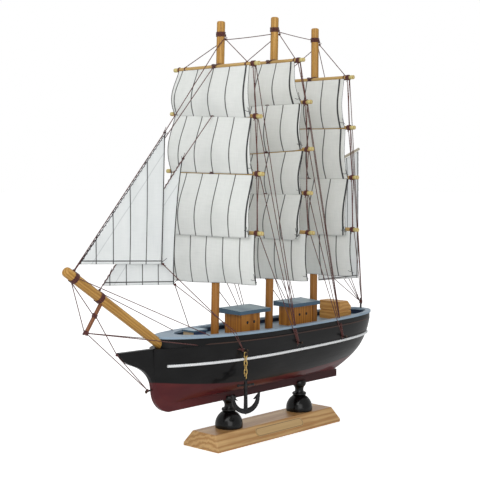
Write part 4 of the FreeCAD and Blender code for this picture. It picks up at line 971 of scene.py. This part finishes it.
def cross_lashing(skein, name, index):
    """A yard bound to its mast: thread laid crosswise over the yard and behind the mast."""
    level = yard_level(name, index)
    mast = mast_at(name, level)
    yard = yard_x(name, level)
    for slant in SIDES:
        for k in range(4):
            shift = (k - 1.5) * 0.52
            behind = mast + Vector((-MAST_RADIUS - 0.35, 0.0, shift * 0.9))
            ahead = Vector((yard + YARD_RADIUS + 0.75, shift, level))
            port, starboard = [lashing_half(mast, yard, slant, shift, side) for side in SIDES]
            skein.tube(rounded([behind] + port + [ahead] + starboard[::-1]), 0.3, 6, 2, 0.15, True)


def rounded(points):
    """A smooth closed line near the corners, by two passes of corner cutting."""
    for cutting in range(2):
        cut = []
        for a, b in zip(points, points[1:] + points[:1]):
            cut.append(a.lerp(b, 0.25))
            cut.append(a.lerp(b, 0.75))
        points = cut
    return points


def make_lashings(mat):
    """Every yard's lashing."""
    skein = Skein()
    for name, index in all_yards():
        cross_lashing(skein, name, index)
    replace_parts(skein.piece("crossed_lashings", mat), "yard_lashings")


def make_stays(mat):
    """Stays on the centre line, with the lashings round the mast heads."""
    skein = Skein()
    heads = {name: masthead(name) for name in MASTS}
    for head in heads.values():
        skein.coil(head, UP, MAST_RADIUS, 7, 3.4)
    high = masthead("fore", STAY_DROP)
    tied = heads["fore"] + Vector((-0.4, MAST_RADIUS + 0.45, -TIE_DROP * 0.8))
    outer = [tied]
    for k in range(5):
        turn = radians(80 - 17 * k)
        around = Vector((cos(turn), sin(turn), 0.0)) * (MAST_RADIUS + THREAD + 0.1)
        outer.append(mast_at("fore", tied.z + (high.z - tied.z) * (k + 1) / 5) + around)
    outer += [OUTER_HEAD, wrap_top(SPRIT_WRAPS[1])]
    inner = [lashing_front("fore", 1), INNER_HEAD, wrap_top(SPRIT_WRAPS[0])]
    skein.run(outer)
    skein.run(inner)
    skein.line(lashing_front("fore", 0), wrap_top(SPRIT_WRAPS[1]) - Vector((0.6, 0, 0.2)))
    for stay in (outer, inner):
        skein.knot(stay[-2], 0.8)
        skein.knot(stay[-1], 0.9)
        skein.whisker(stay[-2], (0.1, 0.2, 1.0), 3.5, 1.0)
    ahead = Vector((MAST_RADIUS + 0.4, 0, 0))
    low = Vector((0, 0, -TIE_DROP))
    hung = mast_at("mizzen", GAFF_THROAT_Z).lerp(GAFF_PEAK, 0.62) + Vector((0, 0, 1.2))
    skein.line(heads["mizzen"] + Vector((-MAST_RADIUS - 0.4, 0, 0)) + low, hung)
    skein.line(heads["fore"] - ahead + low, heads["main"] + ahead + low, 0.3)
    skein.line(heads["main"] - ahead + low * 0.3, heads["mizzen"] + ahead, 0.3)
    for head in heads.values():
        behind = head + Vector((-MAST_RADIUS * 0.6 - 0.3, MAST_RADIUS, 0))
        skein.run([behind, behind + low])
        skein.knot(behind + low, 0.8)
    for head in heads.values():
        skein.whisker(head + Vector((0, MAST_RADIUS + 0.4, -1)), (0.2, 0.8, -0.5), 3.0, -1.2)
    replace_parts(skein.piece("centre_stays", mat), "mast_stays")


def make_lifts(mat):
    """Lifts from the mast heads, and the doubled threads from yardarm to yardarm."""
    skein = Skein()
    for name in MASTS:
        head = masthead(name)
        for side in SIDES:
            arms = [yardarm(name, i, side) for i in range(len(YARDS[name]))]
            for arm in arms:
                skein.coil(arm, PORT, YARD_RADIUS, 6 if side > 0 else 2, 3.0 if side > 0 else 1.0)
                skein.knot(arm + Vector((-1.6, 0, -1.5)), 0.8)
                skein.whisker(arm + Vector((side * 1.4, 0, -1.4)), (side * 0.3, side * 0.5, -0.7), 3.4, 1.2)
            for a, b in zip(arms, arms[1:]):
                middle = (a + b) / 2
                for k, out in enumerate((0.5, -0.5)):
                    start = a + Vector((-1.2 + 1.6 * k, out * 0.8, 0))
                    end = b + Vector((-1.2 + 1.6 * k, -out * 0.8, 0))
                    skein.run([start, middle + Vector((0.3 * out, out * 0.6, 0)), end])
            level = arms[0].z + YARD_RADIUS + THREAD
            foot = Vector((arms[0].x, side * LIFT_PLACES[name], level))
            tie = Vector((-MAST_RADIUS * 0.6 - 0.3, MAST_RADIUS, -TIE_DROP))
            if side < 0:
                tie = Vector((-MAST_RADIUS - 0.4, MAST_RADIUS * 0.3, -TIE_DROP))
            skein.line(head + tie, foot)
            skein.coil(foot - Vector((0, 0, YARD_RADIUS + THREAD)), PORT, YARD_RADIUS, 2, 1.0)
    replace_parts(skein.piece("lifts_and_yard_ties", mat), "yard_lifts")


def make_yard_tips(mat):
    """The bare ends of every yard outside its knots: pale sleeves with eased rims."""
    length = KNOT_INSET - 1.9
    skin = YARD_RADIUS + 0.04
    rim = [(0.0, 0.05), (0.9, 0.04), (1.3, -0.06), (skin, -0.4)]
    profile = rim + [(skin, -length * 0.5), (skin, -length), (1.4, -length - 0.05)]
    verts = []
    faces = []
    ring, ring_faces = lathe(profile, 20)
    for name, index in all_yards():
        for side in SIDES:
            base = len(verts)
            tip = yard_at(name, index, side * yard_half(name, index))
            verts.extend((tip + Vector((x, side * out, y))) * MM for x, y, out in ring)
            faces.extend(tuple(base + k for k in face)[::-side] for face in ring_faces)
    piece("yard_tips", verts, faces, mat)


def make_backstays(mat):
    """Threads from every yardarm down to the hull's side or the stern post."""
    skein = Skein()
    after = {"fore": "main", "main": "mizzen"}
    for side in SIDES:
        for name in MASTS:
            if name in after:
                end = channel(after[name], side)
            else:
                end = POST_TOP + Vector((0, side * 1.0, -3.0))
            for index in range(len(YARDS[name])):
                start = yardarm(name, index, side) - Vector((YARD_RADIUS + 0.5, 0, 0))
                spreadout = Vector(((index - 1.5) * 0.25, 0, (index - 1.5) * 0.35))
                points = [start, end + spreadout]
                if name in after:
                    points = under_foot(points, after[name])
                skein.run(points)
            if name in after:
                skein.knot(end, 1.1)
                skein.coil(end, PORT, 0.6, 4, 1.8)
                rise = (yardarm(name, 2, side) - end).normalized()
                skein.coil(end + rise * 7.0, rise, 0.75, 14, 11.0)
            skein.whisker(end, (0.2, side * 0.3, -0.9), 3.5, 1.0)
    skein.coil(POST_TOP - Vector((0, 0, 3.0)), UP, 0.85, 6, 2.6)
    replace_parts(skein.piece("backstay_threads", mat), "backstays")


def under_foot(points, name):
    """A backstay bends under the foot of the lowest sail that it would cut."""
    start, end = points
    foot = sail_edges(name, len(YARDS[name]) - 1)[2] + Vector((CLOTH_THICK + 0.6, 0, -0.6))
    cross = start + (end - start) * ((start.x - foot.x) / (start.x - end.x))
    if cross.z < foot.z:
        return points
    return [start, Vector((foot.x, cross.y, foot.z)), end]


def make_head_rigging(mat):
    """Wraps on the bowsprit and the striker, the bobstays and the threads back to the fore channels."""
    skein = Skein()
    for share in SPRIT_WRAPS:
        skein.coil(sprit_at(share), SPRIT_RUN, SPRIT_RADIUS, 7, 3.6)
    top = sprit_at(STRIKER_PLACE) + SPRIT_DOWN * (SPRIT_RADIUS - 1.5)
    foot = sprit_at(STRIKER_PLACE) + SPRIT_DOWN * (SPRIT_RADIUS + STRIKER_LENGTH)
    low_knot = foot - SPRIT_DOWN * 1.2
    mid_knot = top + (foot - top) * STRIKER_LASH
    under_tip = sprit_at(SPRIT_WRAPS[1]) + SPRIT_DOWN * (SPRIT_RADIUS + 0.3)
    ahead = SPRIT_RUN * (STRIKER_RADIUS + THREAD)
    beak = BEAK_TIP + Vector((1.0, 0, -1.2))
    for centre in (low_knot, mid_knot):
        skein.coil(centre, SPRIT_DOWN, STRIKER_RADIUS, 5, 2.6)
    skein.run([under_tip, low_knot + ahead])
    skein.run([under_tip, mid_knot + ahead])
    skein.run([mid_knot - ahead, beak])
    skein.run([low_knot - ahead, STEM_NAIL])
    skein.run([beak, STEM_NAIL])
    skein.knot(beak, 0.9)
    skein.knot(STEM_NAIL + Vector((0.3, 0, 0)), 0.9)
    for side in SIDES:
        end = channel("fore", side)
        start = sprit_at(SPRIT_WRAPS[1]) + Vector((0, side * (SPRIT_RADIUS + 0.3), 0))
        skein.run([start, end])
        skein.run([low_knot + Vector((0, side * (STRIKER_RADIUS + 0.3), 0)), end])
        skein.knot(end, 1.1)
        skein.coil(end, PORT, 0.6, 4, 1.8)
    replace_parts(skein.piece("head_threads", mat), "bowsprit_rigging")


def make_sheets(mat):
    """Threads from the jibs' clews over the rail to the fore channels."""
    skein = Skein()
    start, over = RAIL_SLOPE[1:]
    for jib, sides in (("outer_jib", (1,)), ("inner_jib", SIDES)):
        clew = jib_corners(jib)[2] - Vector((1.1, 0, 0))
        skein.knot(clew, 0.9)
        for side in sides:
            end = channel("fore", side)
            x = clew.x + (end.x - clew.x) * 0.8
            level = OVER_RAIL + RAIL_SLOPE[0] * (x - start) / over
            edge = hull_side(x, BULWARK_Z, side)
            skein.run([clew, Vector((x, edge.y + side * 1.5, level)), end])
    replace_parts(skein.piece("jib_sheet_threads", mat), "jib_sheets")


def wale_height(x):
    """Middle of the rope at a station: the parabola through the design's three points."""
    total = 0.0
    for i, (xi, zi) in enumerate(WALE):
        part = zi
        for k, (xk, zk) in enumerate(WALE):
            if k != i:
                part *= (x - xk) / (xi - xk)
        total += part
    return total - WALE_THICK / 2


def wale_line():
    """Points on the hull's side from the port bow round the stern to the starboard bow."""
    count = 150
    port = []
    for i in range(count + 1):
        x = WALE_BOW_X + (WALE_TURN_X - WALE_BOW_X) * i / count
        port.append(hull_side(x, wale_height(x), 1) + Vector((0, 0.55, 0)))
    stern = []
    for i in range(1, 60):
        angle = pi * (0.5 + i / 60)
        out = Vector((cos(angle), sin(angle), 0.0))
        x = WALE_TURN_X
        for guess in range(3):
            start = Vector((WALE_TURN_X, 0, wale_height(x))) + out * OUTSIDE
            hit = HULL_TREE.ray_cast(start * MM, -out)[0]
            x = hit.x / MM
        stern.append(hit / MM + out * 0.55)
    starboard = [Vector((p.x, -p.y, p.z)) for p in reversed(port)]
    return port + stern + starboard


def make_wale(mat):
    """The white rope: three strands laid round each other."""
    skein = Skein()
    line = spread(wale_line(), 0.45)
    for strand in range(3):
        points = []
        walked = 0.0
        for i, point in enumerate(line):
            ahead = line[min(i + 1, len(line) - 1)]
            behind = line[max(i - 1, 0)]
            run = (ahead - behind).normalized()
            across = run.cross(UP).normalized()
            up = across.cross(run)
            if i:
                walked += (point - line[i - 1]).length
            angle = 2 * pi * (walked / WALE_PITCH + strand / 3)
            points.append(point + (across * cos(angle) + up * sin(angle)) * WALE_LAY)
        skein.tube(points[::2], WALE_STRAND, 7, 3, 0.06)
    rope = skein.piece("wale_twist", mat, "wale_cord")
    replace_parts(rope, "wale_rope")


def make_portholes(mat):
    """Black beaded discs set in the cabins' round openings, painted shade for their blind recesses."""
    # each black disc paints the shade of a blind recess; the bead is its rim
    shade_disc = [(0.0, -0.5), (0.55, -0.45), (0.72, -0.2)]
    bead = [(0.8, 0.02), (0.98, 0.12), (1.12, 0.06), (1.15, -0.06)]
    ring, ring_faces = lathe(shade_disc + bead, 28)
    for cabin, half in CABIN_HALVES.items():
        low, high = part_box(cabin)
        verts = []
        faces = []
        for side in SIDES:
            for share in PORTHOLE_SHARES:
                base = len(verts)
                x = high.x / MM - (high.x - low.x) / MM * share
                for vx, vy, vz in ring:
                    verts.append(Vector((x + vx, side * (half + vz), DECK_Z + PORTHOLE_Z + vy)) * MM)
                faces.extend(tuple(base + k for k in face) for face in ring_faces)
        obj = piece(cabin + "_portholes", verts, faces, mat)
        solid = obj.modifiers.new("thickness", "SOLIDIFY")
        solid.thickness = 0.1 * MM


# ---------------------------------------------------------------- light, floor and camera

def area_light(name, place, aim, size, power):
    """A soft square lamp aimed at a point."""
    lamp = bpy.data.lights.new(name, "AREA")
    lamp.size = size
    lamp.energy = power
    obj = add_object(name, lamp)
    obj.location = place
    obj.rotation_euler = (Vector(aim) - Vector(place)).to_track_quat("-Z", "Y").to_euler()


def make_stage():
    """Pale floor, white surroundings and soft lamps."""
    graph = Graph("floor_white", 0.9)
    cloud = graph.streaks((3.0, 3.0, 3.0), 2.0)
    seen = graph.node("LightPath").outputs["Is Camera Ray"]
    graph.shader.inputs["Emission Color"].default_value = (1.0, 1.0, 1.0, 1.0)
    graph.put(graph.shader.inputs["Emission Strength"], graph.times(seen, 0.62))
    mat = graph.finish(graph.mix(cloud, (0.86, 0.86, 0.86), (0.84, 0.84, 0.84)))
    floor = add_mesh("floor", [(-6, -6, 0), (6, -6, 0), (6, 6, 0), (-6, 6, 0)], [(0, 1, 2, 3)], mat)
    world = bpy.data.worlds.new("studio")
    bpy.context.scene.world = world
    world.use_nodes = True
    backdrop = world.node_tree.nodes["Background"]
    backdrop.inputs["Color"].default_value = (1.0, 1.0, 1.0, 1.0)
    ray = world.node_tree.nodes.new("ShaderNodeLightPath")
    level = world.node_tree.nodes.new("ShaderNodeMapRange")
    level.inputs["To Min"].default_value = AMBIENT
    level.inputs["To Max"].default_value = 1.0
    world.node_tree.links.new(ray.outputs["Is Camera Ray"], level.inputs["Value"])
    world.node_tree.links.new(level.outputs["Result"], backdrop.inputs["Strength"])
    area_light("key", (0.75, 0.25, 0.9), (0.0, 0.0, 0.15), 0.7, 3.4)
    area_light("fill", (0.75, 0.95, 0.4), (0.0, 0.0, 0.14), 0.8, 3.6)
    area_light("back", (-0.8, -0.5, 0.8), (0.0, 0.0, 0.15), 0.8, 2.0)
    bpy.context.scene.view_settings.view_transform = "Standard"


def make_camera():
    """The camera, off the port bow and a little above the deck."""
    yaw = radians(223.54)
    pitch = radians(-3.91)
    camera = bpy.data.cameras.new("camera")
    camera.lens = 85.08
    camera.sensor_width = 36.0
    camera.clip_start = 0.01
    obj = add_object("camera", camera)
    obj.location = (0.641231, 0.582443, 0.208729)
    look = Vector((cos(pitch) * cos(yaw), cos(pitch) * sin(yaw), sin(pitch)))
    obj.rotation_euler = look.to_track_quat("-Z", "Y").to_euler()
    bpy.context.scene.camera = obj


def dress(mat, *names):
    """Gives CAD nodes a finished material."""
    for name in names:
        for place in NODES[name].material_slots:
            place.material = mat


def dress_frame():
    """Every CAD node that keeps its shape."""
    pine = wood("stand_pine", srgb(224, 186, 128), srgb(172, 122, 68), "x", 3.4, (9.0, -34.0), 0.35, 0.2)
    dress(pine, "stand_base")
    dress(label_film(), "name_label")
    gloss = paint("black_gloss", (0.002, 0.002, 0.002), (0.004, 0.004, 0.004), 0.2, 0.12)
    dress(gloss, "front_pillar", "rear_pillar")
    dress(metal("screw_steel", (0.5, 0.5, 0.5), (0.35, 0.35, 0.34), 0.35), "stand_screws")
    dress(hull_paint(), "hull", "stem")
    dress(keel_paint(), "keel")
    dress(bulwark_paint(), "bulwark")
    dress(paint("rail_paint", srgb(150, 172, 190), srgb(116, 142, 164), 0.42, 0.15), "cap_rail")
    dress(paint("deck_paint", srgb(150, 170, 184), srgb(120, 142, 160), 0.5, 0.1), "deck")
    dress(paint("moulding_brown", srgb(70, 48, 40), srgb(44, 36, 34), 0.45, 0.1), "rail_moulding")
    dress(hatch_paint(), "fore_hatch")
    roof_top = srgb(160, 184, 194)
    # the side colour of the roofs and the hatch lid is painted shade of their slate blue paint
    roof_side_shade = srgb(76, 102, 122)
    dress(roof_paint("hatch_lid_blue", srgb(176, 198, 210), roof_side_shade, srgb(140, 166, 184)), "fore_hatch_lid")
    slate = roof_paint("roof_slate", roof_top, roof_side_shade, srgb(104, 134, 156))
    dress(slate, "fore_cabin_roof", "aft_cabin_roof")
    cabin = wood("cabin_wood", srgb(210, 142, 56), srgb(142, 84, 26), "z", 2.6, (30.0, 24.0), 0.45, 0.1)
    dress(cabin, "fore_cabin", "aft_cabin")
    pale = wood("pale_wood", srgb(232, 180, 104), srgb(190, 130, 62), "y", 2.8, (-85.0, 60.0), 0.5, 0.2)
    dress(pale, "stern_house")
    spar_light = srgb(216, 168, 88)
    spar_dark = srgb(160, 112, 48)
    tint = (srgb(152, 88, 20), 90.0, 200.0)
    for name, centre in (("fore_mast", 52.0), ("main_mast", -7.0), ("mizzen_mast", -58.0)):
        dress(wood(name + "_wood", spar_light, spar_dark, "z", 1.5, (centre, 3.5), 0.45, 0.12, tint), name)
    yard_mat = wood("yard_wood", srgb(218, 186, 122), srgb(178, 138, 78), "y", 1.1, (0.0, 0.0), 0.45, 0.3)
    dress(yard_mat, "fore_yards", "main_yards", "mizzen_yards")
    lean = atan2(SPRIT_RUN.z, SPRIT_RUN.x)
    heart = (4.5, SPRIT_ROOT.z * cos(lean) - SPRIT_ROOT.x * sin(lean) + 2.0)
    dress(wood("sprit_wood", spar_light, spar_dark, "x", 1.7, heart, 0.45, 0.12, None, lean), "bowsprit")
    grey = wood("gaff_wood", srgb(206, 200, 182), srgb(164, 154, 134), "x", 1.5, (3.0, 200.0), 0.5, 0.05)
    dress(grey, "gaff")
    striker = wood("striker_wood", srgb(150, 90, 44), srgb(104, 58, 26), "z", 1.2, (160.0, 2.0), 0.45, 0.3)
    dress(striker, "dolphin_striker")
    dress(paint("black_pin", (0.012, 0.012, 0.012), (0.03, 0.03, 0.03), 0.3, 0.3), "stern_post")
    dress(metal("nail_steel", (0.05, 0.04, 0.035), (0.14, 0.09, 0.06), 0.4, 800.0), "rigging_nails")
    brass = metal("chain_brass", (0.72, 0.52, 0.2), (0.5, 0.33, 0.1), 0.3, 900.0)
    dress(brass, *["chain_link_" + str(i + 1) for i in range(6)])
    dress(metal("anchor_iron", (0.010, 0.010, 0.011), (0.03, 0.03, 0.032), 0.42, 500.0, 0.2), "anchor")


def make_sails():
    """All sixteen sails."""
    broad = (STRIPE_PITCH, 0.95, 1.6)
    narrow = (JIB_PITCH, 0.8, 0.8)
    cloth = sail_cloth("square_sail_cloth", srgb(244, 246, 243), srgb(208, 212, 208), broad)
    jib_cloth = sail_cloth("jib_cloth", srgb(250, 253, 252), srgb(224, 229, 230), narrow, (2.2, 7.5))
    cord = fibre_cord("bolt_rope", srgb(46, 44, 48), srgb(22, 22, 25))
    for name, index in all_yards():
        square_sail(name, index, cloth, cord)
    for name in JIBS:
        jib_sail(name, jib_cloth, cord)
    spanker_sail(jib_cloth, cord)


def make_rigging():
    """Every thread."""
    mat = fibre_cord("waxed_thread", srgb(104, 48, 42), srgb(58, 26, 24))
    dark = fibre_cord("lashing_thread", srgb(92, 42, 38), srgb(48, 22, 20), 0.55)
    make_lashings(dark)
    make_stays(mat)
    make_lifts(mat)
    make_backstays(mat)
    make_head_rigging(mat)
    make_sheets(mat)
    make_wale(fibre_cord("white_rope", srgb(252, 253, 253), srgb(214, 218, 222), 0.7))
    make_yard_tips(wood("tip_wood", srgb(232, 222, 160), srgb(198, 180, 112), "y", 0.9, (0.0, 0.0), 0.6, 0.0))


make_camera()
make_stage()
dress_frame()
make_sails()
make_rigging()
# the portholes' black is painted shade of their blind recesses
make_portholes(paint("porthole_painted_shade", (0.006, 0.006, 0.006), (0.02, 0.016, 0.012), 0.2, 0.4))
